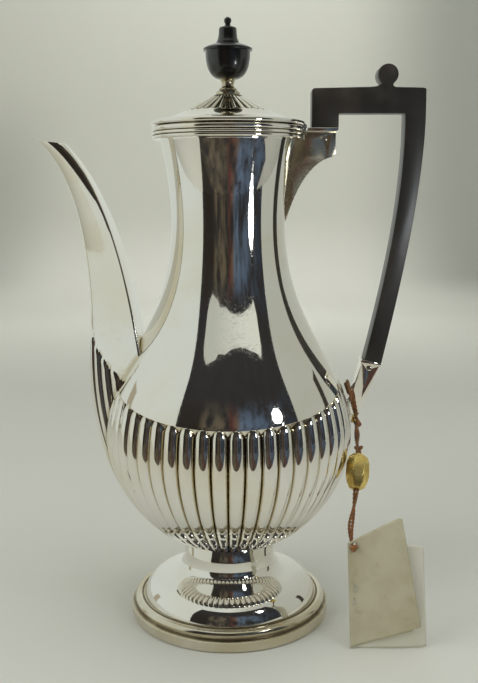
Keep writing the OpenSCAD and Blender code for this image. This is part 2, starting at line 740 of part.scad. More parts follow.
module handle() {
    out_top = [grip_x, bar_top - 8.6];
    in_top = [grip_x - grip_w, bar_top - bar_h];
    out_end = at_joint(grip_end_w / 2 + 0.6, 0);
    in_end = at_joint(-grip_end_w / 2 + 0.6, 0);
    thumb_x = leg_in + 19.5;
    outer = curve([out_top, out_top + [0.2, -28], out_end + [8.4, 37.5], out_end], 14);
    inner = curve([in_top, in_top + [0.6, -32], in_end + [8.5, 35.6], in_end], 14);
    color(EBONY)
        difference() {
            union() {
                side_plate(handle_t)
                    polygon(concat(
                        [[leg_x, leg_bottom], [leg_x, bar_top - 0.8], [leg_x + 0.8, bar_top - 0.1]],
                        [[thumb_x - 6, bar_top + 0.4], [thumb_x - 3.4, bar_top + 1.2], [thumb_x - 2, bar_top + 2.7]],
                        [[thumb_x + 2, bar_top + 2.7], [thumb_x + 2.6, bar_top + 0.6]],
                        [[grip_x - 1, bar_top], [grip_x - 0.1, bar_top - 0.9]],
                        outer, reversed(inner), [[leg_in, bar_top - bar_h], [leg_in, leg_bottom]]));
                translate([thumb_x, 0, bar_top + thumb_h])
                    thumb_disc();
                translate([leg_x + 1.2, -handle_t / 2 + 1, leg_bottom - upper_socket_h + 2])
                    cube([tenon_top_w, handle_t - 2, upper_socket_h - 1.5]);
                side_plate(handle_t - 3)
                    polygon([
                        at_joint(-tenon_low_w / 2, 0.5), at_joint(tenon_low_w / 2, 0.5),
                        at_joint(tenon_low_w / 2 - 2, -tenon_low_h), at_joint(-tenon_low_w / 2 + 0.6, -tenon_low_h)]);
            }
            along_y(upper_pin_x, upper_pin_z, handle_pin_r + pin_fit, 2 * handle_t);
            along_y(lower_pin[0], lower_pin[1], handle_pin_r + pin_fit, 2 * handle_t);
        }
}

module upper_socket() {
    top = seat_z;
    right = leg_in - 1.2;
    low = leg_bottom - upper_socket_h;
    tip_z = rim_z - bracket_h + 3;
    under = curve([[right - 1.5, low - 0.6], [right - 9, low - 2.2], [neck_r + 4.5, low - 11], [neck_r, tip_z]], 12);
    color(SILVER)
        difference() {
            intersection() {
                side_plate(handle_t + 2)
                    polygon(concat([[neck_r - 1, top], [right, top], [right, low + 0.8]], under, [[neck_r - 1, tip_z]]));
                rotate([90, 0, 90])
                    linear_extrude(grip_x)
                        polygon([
                            [-handle_t / 2 - 0.4, top + 1], [-handle_t / 2 - 0.4, low - 3], [-2.2, tip_z],
                            [2.2, tip_z], [handle_t / 2 + 0.4, low - 3], [handle_t / 2 + 0.4, top + 1]]);
            }
            body_outside();
            translate([0, 0, rim_z])
                cylinder(r = mouth_r + reed_out, h = rim_h);
            translate([leg_x + 1.2 - wood_fit, -handle_t / 2 + 1 - wood_fit, low + 1])
                cube([tenon_top_w + 2 * wood_fit, handle_t - 2 + 2 * wood_fit, upper_socket_h + 5]);
            along_y(upper_pin_x, upper_pin_z, handle_pin_r + pin_fit, 2 * handle_t);
        }
}

module upper_socket_band() {
    color(SILVER)
        difference() {
            translate([band_x, -handle_t / 2 - 1.4, seat_z])
                cube([leg_in - 0.2 - band_x, handle_t + 2.8, leg_bottom - seat_z]);
            translate([leg_x + 1.2 - wood_fit, -handle_t / 2 + 1 - wood_fit, seat_z - 1])
                cube([tenon_top_w + 2 * wood_fit, handle_t - 2 + 2 * wood_fit, 5]);
        }
}

module lower_socket() {
    mouth = grip_end_w / 2 + 0.1;
    tip_z = belly_z + arm_tip_h;
    tip_x = belly_r + lobe_rise + 1.8;
    color(SILVER)
        difference() {
            intersection() {
                side_plate(handle_t + 2)
                    polygon([
                        at_joint(-mouth, -band_h), at_joint(mouth, -band_h),
                        [tip_x, tip_z], [belly_r - 2, tip_z], [belly_r - 1.6, tip_z + 9], [belly_r - 0.4, tip_z + 11]]);
                rotate([90, 0, 90])
                    linear_extrude(grip_x)
                        polygon([
                            [-handle_t / 2, joint_z + 3], [-2.6, tip_z - 1],
                            [2.6, tip_z - 1], [handle_t / 2, joint_z + 3]]);
            }
            body_outside();
            side_plate(handle_t - 3 + 2 * wood_fit)
                polygon([
                    at_joint(-tenon_low_w / 2 - wood_fit, 0.5), at_joint(tenon_low_w / 2 + wood_fit, 0.5),
                    at_joint(tenon_low_w / 2 - 2 + wood_fit, -tenon_low_h - wood_fit),
                    at_joint(-tenon_low_w / 2 + 0.6 - wood_fit, -tenon_low_h - wood_fit)]);
            along_y(lower_pin[0], lower_pin[1], handle_pin_r + pin_fit, 2 * handle_t);
        }
}

module lower_socket_band() {
    half = grip_end_w / 2 + 0.7;
    color(SILVER)
        difference() {
            side_plate(handle_t + 0.8)
                polygon([at_joint(-half, 0), at_joint(half, 0), at_joint(half, -band_h), at_joint(-half, -band_h)]);
            side_plate(handle_t - 3 + 2 * wood_fit)
                polygon([
                    at_joint(-tenon_low_w / 2 - wood_fit, 0.5), at_joint(tenon_low_w / 2 + wood_fit, 0.5),
                    at_joint(tenon_low_w / 2 - 2 + wood_fit, -tenon_low_h - wood_fit),
                    at_joint(-tenon_low_w / 2 + 0.6 - wood_fit, -tenon_low_h - wood_fit)]);
        }
}

module upper_handle_pin() {
    color(SILVER)
        along_y(upper_pin_x, upper_pin_z, handle_pin_r, handle_t + 1.2);
}

module lower_handle_pin() {
    color(SILVER)
        along_y(lower_pin[0], lower_pin[1], handle_pin_r, handle_t + 0.2);
}

// ---- Hang tag ----------------------------------------------------------------

cord_r = 1.2;
// The cord goes once round the root of the lower arm, through the seal and down to the card
CORD_ROUTE = [
    [55.4, -6.6, 83.5], [53.9, -6.9, 86.6], [53.0, -6.2, 91], [51.4, -5.3, 97.4], [50.2, 0, 100.9],
    [51.4, 5.3, 97.4], [53.0, 6.2, 91], [54.2, 6.2, 85.6], [55.2, 3.8, 81.6], [54.9, 0, 80.4],
    [54.4, -4.6, 79], [54.0, -8.6, 77.4], [53.8, -12.6, 75.8], [53.6, -16.4, 74.2], [52.8, -20.4, 67.8],
    [51.8, -24.4, 61], [50.2, -29.4, 54.2], [48.8, -33, 49], [48.8, -36.4, 44.2], [49.2, -40.4, 42.9]
];
card_t = 0.6;
CARD_HOLE = [49.2, 43];
CORD_STEPS = 3;

// A smooth line through the points of the route
function smooth(p, i, t) =
    let (
        a = p[max(i - 1, 0)],
        b = p[i],
        c = p[i + 1],
        d = p[min(i + 2, len(p) - 1)]
    )
    0.5 * (2 * b + (c - a) * t + (2 * a - 5 * b + 4 * c - d) * t * t + (3 * b - a - 3 * c + d) * t * t * t);
function route(p, n) =
    concat([for (i = [0 : len(p) - 2]) for (k = [0 : n - 1]) smooth(p, i, k / n)], [p[len(p) - 1]]);
function unit(v) = v / norm(v);

module tag_cord() {
    line = route(CORD_ROUTE, CORD_STEPS);
    m = len(line);
    rings = [for (i = [0 : m - 1])
        let (
            along = unit(line[min(i + 1, m - 1)] - line[max(i - 1, 0)]),
            side = unit(cross(along, [0.9, 0.1, 0.42])),
            other = cross(along, side)
        )
        [for (k = [0 : 7]) line[i] + cord_r * (cos(45 * k) * side + sin(45 * k) * other)]];
    color(RUST)
        loft(rings);
}

module tag_seal() {
    top = CORD_ROUTE[13];
    low = CORD_ROUTE[15];
    axis = unit(low - top);
    tilt = acos(axis[2]);
    turn = atan2(axis[1], axis[0]);
    color(GOLD)
        translate(top + axis * 0.5)
            rotate([0, tilt, turn])
                difference() {
                    rotate_extrude($fn = 8)
                        polygon([[0, 0], [2.6, 0], [4.7, 3.2], [4.7, 9.6], [3, 14.2], [0, 14.2]]);
                    translate([0, 0, -1])
                        cylinder(r = 2, h = 20, $fn = 32);
                }
}

module tag_card() {
    color(CREAM)
        difference() {
            union() {
                translate([0, -38.4, 0])
                    side_plate(card_t)
                        polygon([[48.9, 0], [79.7, 0], [77, 43.5], [47, 44.2]]);
                translate([0, -38.4 - card_t, 0])
                    side_plate(card_t)
                        polygon([[48.7, 0.3], [76.6, 9.8], [67.7, 56.4], [46.9, 44.7]]);
            }
            along_y(CARD_HOLE[0], CARD_HOLE[1], cord_r + 0.6, 100);
        }
}

body();
body_rim();
foot();
foot_rim();
spout();
lid();
lid_rim();
lid_bezel();
finial_collar();
finial_urn();
finial_cap();
finial_bolt();
finial_washer();
finial_nut();
pot_hinge_leaf();
lid_hinge_leaf();
hinge_pin();
upper_socket();
upper_socket_band();
lower_socket();
lower_socket_band();
handle();
upper_handle_pin();
lower_handle_pin();
tag_cord();
tag_seal();
tag_card();
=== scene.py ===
import bpy, bmesh, math
from mathutils import Matrix, Vector


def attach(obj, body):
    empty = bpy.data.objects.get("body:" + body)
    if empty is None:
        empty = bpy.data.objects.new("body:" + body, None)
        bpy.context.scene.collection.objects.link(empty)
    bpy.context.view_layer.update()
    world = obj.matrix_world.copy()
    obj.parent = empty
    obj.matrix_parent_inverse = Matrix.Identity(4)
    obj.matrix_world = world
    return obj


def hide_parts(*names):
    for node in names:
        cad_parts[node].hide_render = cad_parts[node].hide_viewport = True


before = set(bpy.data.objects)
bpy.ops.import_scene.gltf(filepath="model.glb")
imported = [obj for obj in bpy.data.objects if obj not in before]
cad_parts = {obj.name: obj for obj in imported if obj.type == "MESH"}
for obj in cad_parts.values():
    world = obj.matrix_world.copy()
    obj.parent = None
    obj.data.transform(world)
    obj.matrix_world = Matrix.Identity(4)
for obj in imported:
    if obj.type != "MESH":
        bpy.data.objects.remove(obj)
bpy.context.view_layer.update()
MM = 0.001


# ---- Camera --------------------------------------------------------------------------
# A 47 mm lens a little under the rim's height, square on to the side of the pot
# and tipped down to take in the foot.
camera_data = bpy.data.cameras.new("camera")
camera_data.sensor_width = 36
camera_data.lens = 47.44
camera = bpy.data.objects.new("camera", camera_data)
camera.matrix_world = (
    Matrix.Translation((3.84 * MM, -375.84 * MM, 181.34 * MM))
    @ Matrix.Rotation(math.radians(-0.07), 4, "Z")
    @ Matrix.Rotation(math.radians(90 - 9.47), 4, "X")
    @ Matrix.Rotation(math.radians(-0.10), 4, "Z"))
bpy.context.scene.collection.objects.link(camera)
bpy.context.scene.camera = camera


# ---- Hang tag's cord -----------------------------------------------------------------
# Rust-brown thread, plied and doubled, looped round the root of the handle's
# lower arm. It drops through the seal and is knotted through the card's hole.
class Wire:
    """A socket of a node tree. Sums and products of wires add Math nodes."""

    def __init__(self, tree, socket=None):
        self.tree, self.socket = tree, socket

    def node(self, kind, settings, inputs, out=0):
        made = self.tree.nodes.new(kind)
        for key, value in settings.items():
            if key == "stops":
                ramp = made.color_ramp
                while len(ramp.elements) < len(value):
                    ramp.elements.new(0.5)
                for stop, (place, colour) in zip(ramp.elements, value):
                    stop.position, stop.color = place, (*colour, 1)
            else:
                setattr(made, key, value)
        for key, value in inputs.items():
            if isinstance(value, Wire):
                self.tree.links.new(value.socket, made.inputs[key])
            else:
                made.inputs[key].default_value = value
        return Wire(self.tree, made.outputs[out])

    def math(self, operation, a, b=0.0, clamp=False):
        return self.node("ShaderNodeMath", {"operation": operation, "use_clamp": clamp}, {0: a, 1: b})

    def __add__(self, other): return self.math("ADD", self, other)
    def __sub__(self, other): return self.math("SUBTRACT", self, other)
    def __rsub__(self, other): return self.math("SUBTRACT", other, self)
    def __mul__(self, other): return self.math("MULTIPLY", self, other)
    def __truediv__(self, other): return self.math("DIVIDE", self, other)
    def __pow__(self, other): return self.math("POWER", self, other)
    __radd__, __rmul__ = __add__, __mul__

    def clamped(self): return self.math("ADD", self, 0.0, True)

    def step(self, low, high, to_low=0.0, to_high=1.0):
        return self.node("ShaderNodeMapRange", {"interpolation_type": "SMOOTHSTEP"},
                         {0: self, 1: low, 2: high, 3: to_low, 4: to_high})

    def blend(self, a, b):
        """Colour a where this wire is 0, and b where it is 1."""
        a, b = (c if isinstance(c, Wire) else (*c, 1) for c in (a, b))
        return self.node("ShaderNodeMix", {"data_type": "RGBA"}, {0: self, 6: a, 7: b}, out=2)

    def noise(self, place, scale, detail=3.0, rough=0.5, distort=0.0):
        return self.node("ShaderNodeTexNoise", {}, {
            "Vector": place, "Scale": scale, "Detail": detail, "Roughness": rough, "Distortion": distort})

    def curled(self, place, scale, size):
        """Coordinates pushed about by a slow noise, so that scratches curl."""
        push = self.node("ShaderNodeTexNoise", {}, {"Vector": place, "Scale": scale, "Detail": 1.0}, out=1)
        push = self.node("ShaderNodeVectorMath", {"operation": "SCALE"}, {0: push, 3: size})
        return self.node("ShaderNodeVectorMath", {"operation": "ADD"}, {0: place, 1: push})

    def stretched(self, place, x, y, z):
        return self.node("ShaderNodeMapping", {}, {"Vector": place, "Scale": (x, y, z)})

    def place(self):
        """Object coordinates, in metres."""
        return self.node("ShaderNodeTexCoord", {}, {}, out=3)

    def stored(self, name):
        return self.node("ShaderNodeAttribute", {"attribute_name": name}, {}, out=2)

    def bumped(self, height, strength, depth):
        return self.node("ShaderNodeBump", {}, {"Strength": strength, "Distance": depth, "Height": height})


def finish(name, fixed, paint):
    """A material. fixed are its constants; paint gives its varying sockets from a wire."""
    made = bpy.data.materials.new(name)
    made.use_nodes = True
    tree = made.node_tree
    tree.nodes.clear()
    wire = Wire(tree)
    sockets = dict(fixed)
    sockets.update(paint(wire))
    shader = wire.node("ShaderNodeBsdfPrincipled", {}, sockets)
    output = tree.nodes.new("ShaderNodeOutputMaterial")
    tree.links.new(shader.socket, output.inputs["Surface"])
    return made


def mesh_from(name, points, faces, material):
    """A mesh from points in millimetres, in one material."""
    mesh = bpy.data.meshes.new(name)
    mesh.from_pydata([(x * MM, y * MM, z * MM) for x, y, z in points], [], faces)
    mesh.materials.append(material)
    return mesh


def placed(name, mesh):
    """An object for the mesh, at the origin of the scene."""
    made = bpy.data.objects.new(name, mesh)
    bpy.context.scene.collection.objects.link(made)
    return made


def mesh_piece(name, points, faces, material, stored={}, crease=38):
    """A piece from points in millimetres, facing outwards, smooth but for its creases."""
    mesh = mesh_from(name, points, faces, material)
    for key, values in stored.items():
        mesh.attributes.new(key, "FLOAT", "POINT").data.foreach_set("value", values)
    work = bmesh.new()
    work.from_mesh(mesh)
    bmesh.ops.remove_doubles(work, verts=work.verts, dist=1e-6)
    bmesh.ops.recalc_face_normals(work, faces=work.faces)
    if work.calc_volume(signed=True) < 0:
        bmesh.ops.reverse_faces(work, faces=work.faces)
    work.to_mesh(mesh)
    work.free()
    smooth(mesh, crease)
    return placed(name, mesh)


def smooth(mesh, crease):
    mesh.polygons.foreach_set("use_smooth", [True] * len(mesh.polygons))
    mesh.set_sharp_from_angle(angle=math.radians(crease))


def tube_faces(rings, around, closed=False):
    """Faces between rings of the same number of points, with both ends closed by one face."""
    last = rings if closed else rings - 1
    faces = [(k * around + c, k * around + (c + 1) % around,
              (k + 1) % rings * around + (c + 1) % around, (k + 1) % rings * around + c)
             for k in range(last) for c in range(around)]
    if not closed:
        faces += [tuple(range(around))[::-1], tuple((rings - 1) * around + c for c in range(around))]
    return faces


def fit(piece, body, slot, *nodes):
    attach(piece, body)
    if nodes:
        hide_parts(*nodes)
    return piece


def spline(points, steps):
    """A smooth line through the points, steps to each stretch."""
    line = []
    for i in range(len(points) - 1):
        a, b, c, d = (Vector(points[min(max(j, 0), len(points) - 1)]) for j in (i - 1, i, i + 1, i + 2))
        for k in range(steps):
            t = k / steps
            line.append(0.5 * (2 * b + (c - a) * t + (2 * a - 5 * b + 4 * c - d) * t * t
                               + (3 * b - a - 3 * c + d) * t ** 3))
    return line + [Vector(points[-1])]


def frames_along(line):
    """A side and an upward direction at each point of the line, carried along without a twist."""
    side = (line[1] - line[0]).orthogonal().normalized()
    made = []
    for i in range(len(line)):
        along = (line[min(i + 1, len(line) - 1)] - line[max(i - 1, 0)]).normalized()
        side = (side - along * side.dot(along)).normalized()
        made.append((side, along.cross(side)))
    return made


def tube(line, radius, around=8):
    frames = frames_along(line)
    points = [p + radius * (math.cos(2 * math.pi * k / around) * s + math.sin(2 * math.pi * k / around) * u)
              for p, (s, u) in zip(line, frames) for k in range(around)]
    return [tuple(p) for p in points], tube_faces(len(line), around)


CORD_ROUTE = [
    (55.4, -6.6, 83.5), (53.9, -6.9, 86.6), (53.0, -6.2, 91), (51.4, -5.3, 97.4), (50.2, 0, 100.9),
    (51.4, 5.3, 97.4), (53.0, 6.2, 91), (54.2, 6.2, 85.6), (55.2, 3.8, 81.6), (54.9, 0, 80.4),
    (54.4, -4.6, 79), (54.0, -8.6, 77.4), (53.8, -12.6, 75.8), (53.6, -16.4, 74.2), (52.8, -20.4, 67.8),
    (51.8, -24.4, 61), (50.2, -29.4, 54.2), (48.8, -33, 49), (48.8, -36.4, 44.2), (49.2, -40.4, 42.9)]
THREAD_R = 0.62
PLY_R = 0.34
cord_line = spline(CORD_ROUTE, 16)
cord_frames = frames_along(cord_line)
cord_length = sum((b - a).length for a, b in zip(cord_line, cord_line[1:]))


def thread_paint(w):
    place = w.place()
    fleck = w.noise(place, 2600, 2).step(0.35, 0.7)
    patch = w.noise(place, 260, 2).step(0.4, 0.62)
    colour = patch.blend((0.22, 0.072, 0.016), (0.070, 0.026, 0.008))
    return {"Base Color": fleck.blend(colour, (0.36, 0.16, 0.04)),
            "Roughness": fleck * 0.15 + 0.7,
            "Normal": w.bumped(w.noise(place, 5200, 2), 0.5, 0.0001)}


thread = finish("rust_thread", {"Sheen Weight": 0.3, "Sheen Roughness": 0.5}, thread_paint)
cord_points, cord_faces = [], []
for strand in (-1, 1):
    for ply in (0, math.pi):
        ply_line, run = [], 0.0
        for i, (p, (s, u)) in enumerate(zip(cord_line, cord_frames)):
            run += (cord_line[i] - cord_line[i - 1]).length if i else 0
            turn, twist = run * 0.22, strand * run * 2.1 + ply
            out = math.cos(turn) * s + math.sin(turn) * u
            up = math.cos(turn) * u - math.sin(turn) * s
            lay = math.cos(twist) * out + math.sin(twist) * up
            ply_line.append(p + strand * THREAD_R * out + PLY_R * lay)
        points, faces = tube(ply_line, PLY_R, 7)
        cord_faces += [tuple(i + len(cord_points) for i in f) for f in faces]
        cord_points += points
tag_cord = mesh_piece("tag_cord_thread", cord_points, cord_faces, thread, crease=80)
fit(tag_cord, "pot", "cord", "tag_cord")


# ---- Gilt seal -----------------------------------------------------------------------
# A faceted, gilt pressed seal like a long bead, crimped on the doubled cord.
def hollows(profile):
    """How far each point of a closed profile (radius, height) lies in a crease, from 0 to 1."""
    before, after = profile[-1:] + profile[:-1], profile[1:] + profile[:1]
    way = math.copysign(1 / 0.9, sum(q[0] * r[1] - r[0] * q[1] for q, r in zip(profile, after)))
    bends = []
    for p, q, r in zip(before, profile, after):
        a, b = (q[0] - p[0], q[1] - p[1]), (r[0] - q[0], r[1] - q[1])
        bends.append(max(0, min(1, -way * math.atan2(a[0] * b[1] - a[1] * b[0], a[0] * b[0] + a[1] * b[1]))))
    return [max(b, 0.5 * bends[i - 1], 0.5 * bends[(i + 1) % len(bends)]) for i, b in enumerate(bends)]


def turned(name, profile, material, steps=128, grime_and_shade=0.0, crease=30, close=True):
    """A mesh turned about the Z axis from points (radius, height), with tarnish in its creases."""
    stored = {"groove": [min(1, g + grime_and_shade) for g in hollows(profile) for c in range(steps)]}
    points = [(r * math.cos(2 * math.pi * c / steps), r * math.sin(2 * math.pi * c / steps), z)
              for r, z in profile for c in range(steps)]
    return mesh_piece(name, points, tube_faces(len(profile), steps, close), material, stored, crease)


def on_line(piece, start, end):
    """Turns a piece made on the Z axis onto the line from start to end, and leaves it there."""
    axis = (Vector(end) - Vector(start)).normalized()
    move = Matrix.Translation(Vector(start) * MM) @ axis.to_track_quat("Z", "Y").to_matrix().to_4x4()
    piece.data.transform(move)
    return piece


def gilt_paint(w):
    place = w.place()
    wear = w.noise(place, 260, 3).step(0.45, 0.75)
    return {"Base Color": wear.blend((0.90, 0.68, 0.23), (0.74, 0.52, 0.14)),
            "Roughness": wear * 0.08 + 0.27,
            "Normal": w.bumped(w.noise(place, 500, 2), 0.05, 0.0002)}


gilt = finish("gilt", {"Metallic": 1.0}, gilt_paint)
seal_top, seal_low = CORD_ROUTE[13], CORD_ROUTE[15]
SEAL_PROFILE = [(1.5, 0.1), (2.4, 0.1), (4.1, 1.6), (4.9, 4.2), (5.0, 7.4), (5.0, 9.4), (4.4, 12.2),
                (3.4, 14.2), (2.4, 14.9), (1.5, 14.9)]
seal = turned("tag_seal_facets", SEAL_PROFILE, gilt, 7, crease=20)
seal_bevel = seal.modifiers.new("soft_edges", "BEVEL")
seal_bevel.width, seal_bevel.segments, seal_bevel.limit_method = 0.35 * MM, 3, "ANGLE"
on_line(seal, seal_top, seal_low)
fit(seal, "pot", "seal_gold", "tag_seal")


# ---- Knots on the cord ---------------------------------------------------------------
# An overhand knot above the seal and the small knot that stops the cord at the card.
def knot(name, middle, size, turn):
    line = []
    for i in range(73):
        a = 2 * math.pi * i / 72
        across, up = math.sin(a) + 0.6 * math.sin(2 * a), math.cos(a) - 0.6 * math.cos(2 * a + turn)
        line.append(Vector(middle) + size * Vector((across, 0.55 * math.sin(3 * a), up)))
    points, faces = tube(line, THREAD_R, 8)
    return fit(mesh_piece(name, points, faces, thread, crease=80), "pot", "cord")


upper_knot = knot("tag_cord_upper_knot", (53.9, -14.2, 75.6), 0.95, 0.2)
card_knot = knot("tag_cord_card_knot", (49.2, -40.6, 42.9), 0.72, 0.9)
[p * MM for p in cord_line]


# ---- Folded card ---------------------------------------------------------------------
# Cream card folded once down its left side and left blank. The two leaves stand on
# the table, and the front one is tipped and curls at its upper left corner.
def card_paint(w):
    place = w.place()
    stain = w.noise(place, 38, 4, 0.6).step(0.38, 0.72)
    spot = w.noise(place, 150, 3, 0.7).step(0.6, 0.78)
    fibre = w.noise(place, 2400, 3)
    colour = stain.blend((0.62, 0.58, 0.43), (0.50, 0.45, 0.30))
    return {"Base Color": spot.blend(colour, (0.47, 0.40, 0.25)),
            "Roughness": fibre * 0.12 + 0.62,
            "Normal": w.bumped(w.noise(place, 60, 2) * 0.7 + fibre * 0.05, 0.35, 0.0012)}


# The rear leaf is the same card as the front one; its paler colour is painted light, for the light that
# falls on that leaf.
def lit_rear_leaf_paint(w):
    place = w.place()
    stain = w.noise(place, 45, 3).step(0.45, 0.8)
    return {"Base Color": stain.blend((0.80, 0.78, 0.68), (0.72, 0.69, 0.56)),
            "Roughness": w.noise(place, 2400, 3) * 0.12 + 0.6,
            "Normal": w.bumped(w.noise(place, 60, 2), 0.25, 0.001)}


cream_card = finish("cream_card", {}, card_paint)
lit_rear_leaf_card = finish("inner_card", {}, lit_rear_leaf_paint)


CARD_HOLE, HOLE_R, CARD_T, FRONT_Y, REAR_Y = (49.2, 43.0), 1.5, 0.35, -39.2, -38.2
CORNER_REACH = 1.42


def leaf(name, corners, y_of, material, rounded):
    """A card leaf: corners are (x, z) from the lower left round to the upper left; y_of bends it."""
    low_left, low_right, top_right, top_left = (Vector(c) for c in corners)
    wide, high = 28, 40
    points, faces = [], []
    for j in range(high + 1):
        for i in range(wide + 1):
            u, v = i / wide, j / high
            p = (low_left * (1 - u) + low_right * u) * (1 - v) + (top_left * (1 - u) + top_right * u) * v
            for corner, size in rounded:
                c = (low_left, low_right, top_right, top_left)[corner]
                middle = (low_left + low_right + top_right + top_left) / 4
                inner = c + (middle - c).normalized() * size * CORNER_REACH
                away = p - c
                if away.length < size * CORNER_REACH and (p - inner).length > size:
                    p = inner + (p - inner).normalized() * size
            points.append((p.x, y_of(p.x, p.y), p.y))
    for j in range(high):
        for i in range(wide):
            a = j * (wide + 1) + i
            low, top = points[a], points[a + wide + 2]
            middle = Vector((low[0] + top[0], low[2] + top[2])) / 2
            if (middle - Vector(CARD_HOLE)).length < HOLE_R:
                continue
            faces.append((a, a + 1, a + wide + 2, a + wide + 1))
    mesh = mesh_from(name, points, faces, material)
    mesh.polygons.foreach_set("use_smooth", [True] * len(mesh.polygons))
    made = placed(name, mesh)
    thick = made.modifiers.new("thickness", "SOLIDIFY")
    thick.thickness, thick.offset = CARD_T * MM, 0
    return made


def front_bend(x, z):
    """The front leaf swings out at its free side and curls at its upper left corner."""
    curl = 1.6 * max(0, (z - 34) / 22) ** 2 * max(0, (60 - x) / 14)
    return FRONT_Y - 3.2 * max(0, (x - 52) / 25) ** 1.4 - curl


def rear_bend(x, z):
    return REAR_Y - 0.9 * math.sin(math.pi * (x - 47) / 33)


front_leaf = leaf("tag_card_front", [(48.7, 0.2), (76.6, 9.8), (67.7, 56.0), (46.9, 44.7)],
                  front_bend, cream_card, ((1, 2.4), (2, 1.6)))
rear_leaf = leaf("tag_card_rear", [(48.9, 0.2), (79.6, 0.2), (77, 43.5), (47, 44.2)],
                 rear_bend, lit_rear_leaf_card, ((2, 2.2), (1, 1.0)))
fit(front_leaf, "pot", "card", "tag_card")
fit(rear_leaf, "pot", "card")


# ---- Card's staples ------------------------------------------------------------------
# Two bright wire staples hold the leaves together beside the fold.
def steel_paint(w):
    shade = w.noise(w.place(), 1500, 2)
    return {"Base Color": shade.blend((0.75, 0.75, 0.73), (0.55, 0.55, 0.54)),
            "Roughness": shade * 0.1 + 0.22}


staple_wire = finish("staple_wire", {"Metallic": 1.0}, steel_paint)
for number, height in enumerate((18.5, 24.2)):
    crown = FRONT_Y - 0.55
    line = spline([(50.0, FRONT_Y, height + 3.2), (50.0, crown, height + 3.1),
                   (50.1, crown - 0.1, height + 1.6), (50.0, crown, height + 0.1),
                   (50.0, FRONT_Y, height)], 4)
    points, faces = tube(line, 0.22, 6)
    staple = mesh_piece(f"tag_card_staple_{number + 1}", points, faces, staple_wire, crease=80)
    fit(staple, "pot", "card")


# ---- Body ----------------------------------------------------------------------------
# Raised from sheet silver in one piece: a bellied bowl, a long waisted neck and a
# flared mouth. The bowl's lower part is chased all round with 48 round-topped lobes.
def silver_paint(tint, dull, warm):
    def paint(w):
        place = w.place()
        groove = w.stored("groove")
        cloud = w.noise(place, 22, 4, 0.55, 0.6).step(0.38, 0.72)
        fine = w.noise(place, 240, 4, 0.6)
        swirl = w.noise(w.curled(place, 30, 0.012), 900, 1, 0.4, 1.5).step(0.62, 0.66)
        hair = w.noise(w.stretched(place, 1, 1, 9), 260, 2, 0.5, 2.0).step(0.63, 0.67)
        clean = cloud.blend(tint, tuple(c * k for c, k in zip(tint, (0.97, 0.935, 0.85))))
        # grime_and_shade is the stored groove mask and random warm patches: tarnish in creases, and on the
        # lobes also painted shade along their outlines.
        grime_and_shade = (groove * (fine * 0.5 + 0.75) + cloud * 0.08 * warm).clamped()
        tarnish_and_shade_colour = grime_and_shade.step(0.0, 0.55).blend(clean, (0.60, 0.53, 0.37))
        scratched = fine * 0.02 + swirl * 0.05 + hair * 0.04
        return {
            "Base Color": grime_and_shade.step(0.5, 1.0).blend(tarnish_and_shade_colour, (0.15, 0.115, 0.07)),
            "Roughness": (scratched + grime_and_shade * 0.22 + cloud * 0.015 + dull).clamped(),
            "Normal": w.bumped(swirl * 0.5 + hair * 0.35 + fine * 0.2, 0.035, 0.00004)}
    return paint


SILVER = (0.905, 0.885, 0.84)
silver = finish("silver", {"Metallic": 1.0}, silver_paint(SILVER, 0.015, 1.0))
old_silver = finish("silver_handled", {"Metallic": 1.0}, silver_paint((0.84, 0.805, 0.73), 0.07, 2.6))
plate_silver = finish("silver_plate", {"Metallic": 1.0}, silver_paint((0.84, 0.77, 0.57), 0.20, 3.0))


def bezier(p, n, start=0):
    """Points of a cubic curve (radius, height) steered by its two middle points."""
    return [tuple((1 - t) ** 3 * a + 3 * (1 - t) ** 2 * t * b + 3 * (1 - t) * t * t * c + t ** 3 * d
                  for a, b, c, d in zip(*p)) for t in ((start + i) / n for i in range(n + 1 - start))]


BELLY_R, BELLY_Z, BOWL_R, BOWL_Z = 51.5, 79.0, 21.5, 33.5
NECK_R, NECK_Z, MOUTH_R, RIM_Z, RIM_TOP = 23.5, 169.0, 27.8, 202.0, 207.2
bowl_wall = bezier([(BOWL_R, BOWL_Z), (32.5, 38), (BELLY_R, 57), (BELLY_R, BELLY_Z)], 60)
shoulder_wall = bezier([(BELLY_R, BELLY_Z), (BELLY_R, 111), (NECK_R, 124), (NECK_R, NECK_Z)], 60, 1)
neck_wall = bezier([(NECK_R, NECK_Z), (NECK_R, 183), (26.6, 197.5), (MOUTH_R, RIM_Z)], 18, 1)
wall = bowl_wall + shoulder_wall + neck_wall


def wall_r(z):
    """The wall's radius at a height."""
    for (ra, za), (rb, zb) in zip(wall, wall[1:]):
        if za <= z <= zb:
            return ra + (rb - ra) * (z - za) / (zb - za)
    return wall[0][0] if z < wall[0][1] else wall[-1][0]


LOBES, LOBE_RISE, LOBE_DEPTH = 48, 0.6, 2.2
LOBE_TOP_Z, LOBE_CLIMB, LOBED_TOP = 92.8, 10.5, 107.0


def lobe_end(a):
    """Height of the lobes' tops, which climb towards the spout and the handle."""
    return LOBE_TOP_Z + LOBE_CLIMB * (1 - abs(math.sin(a)))


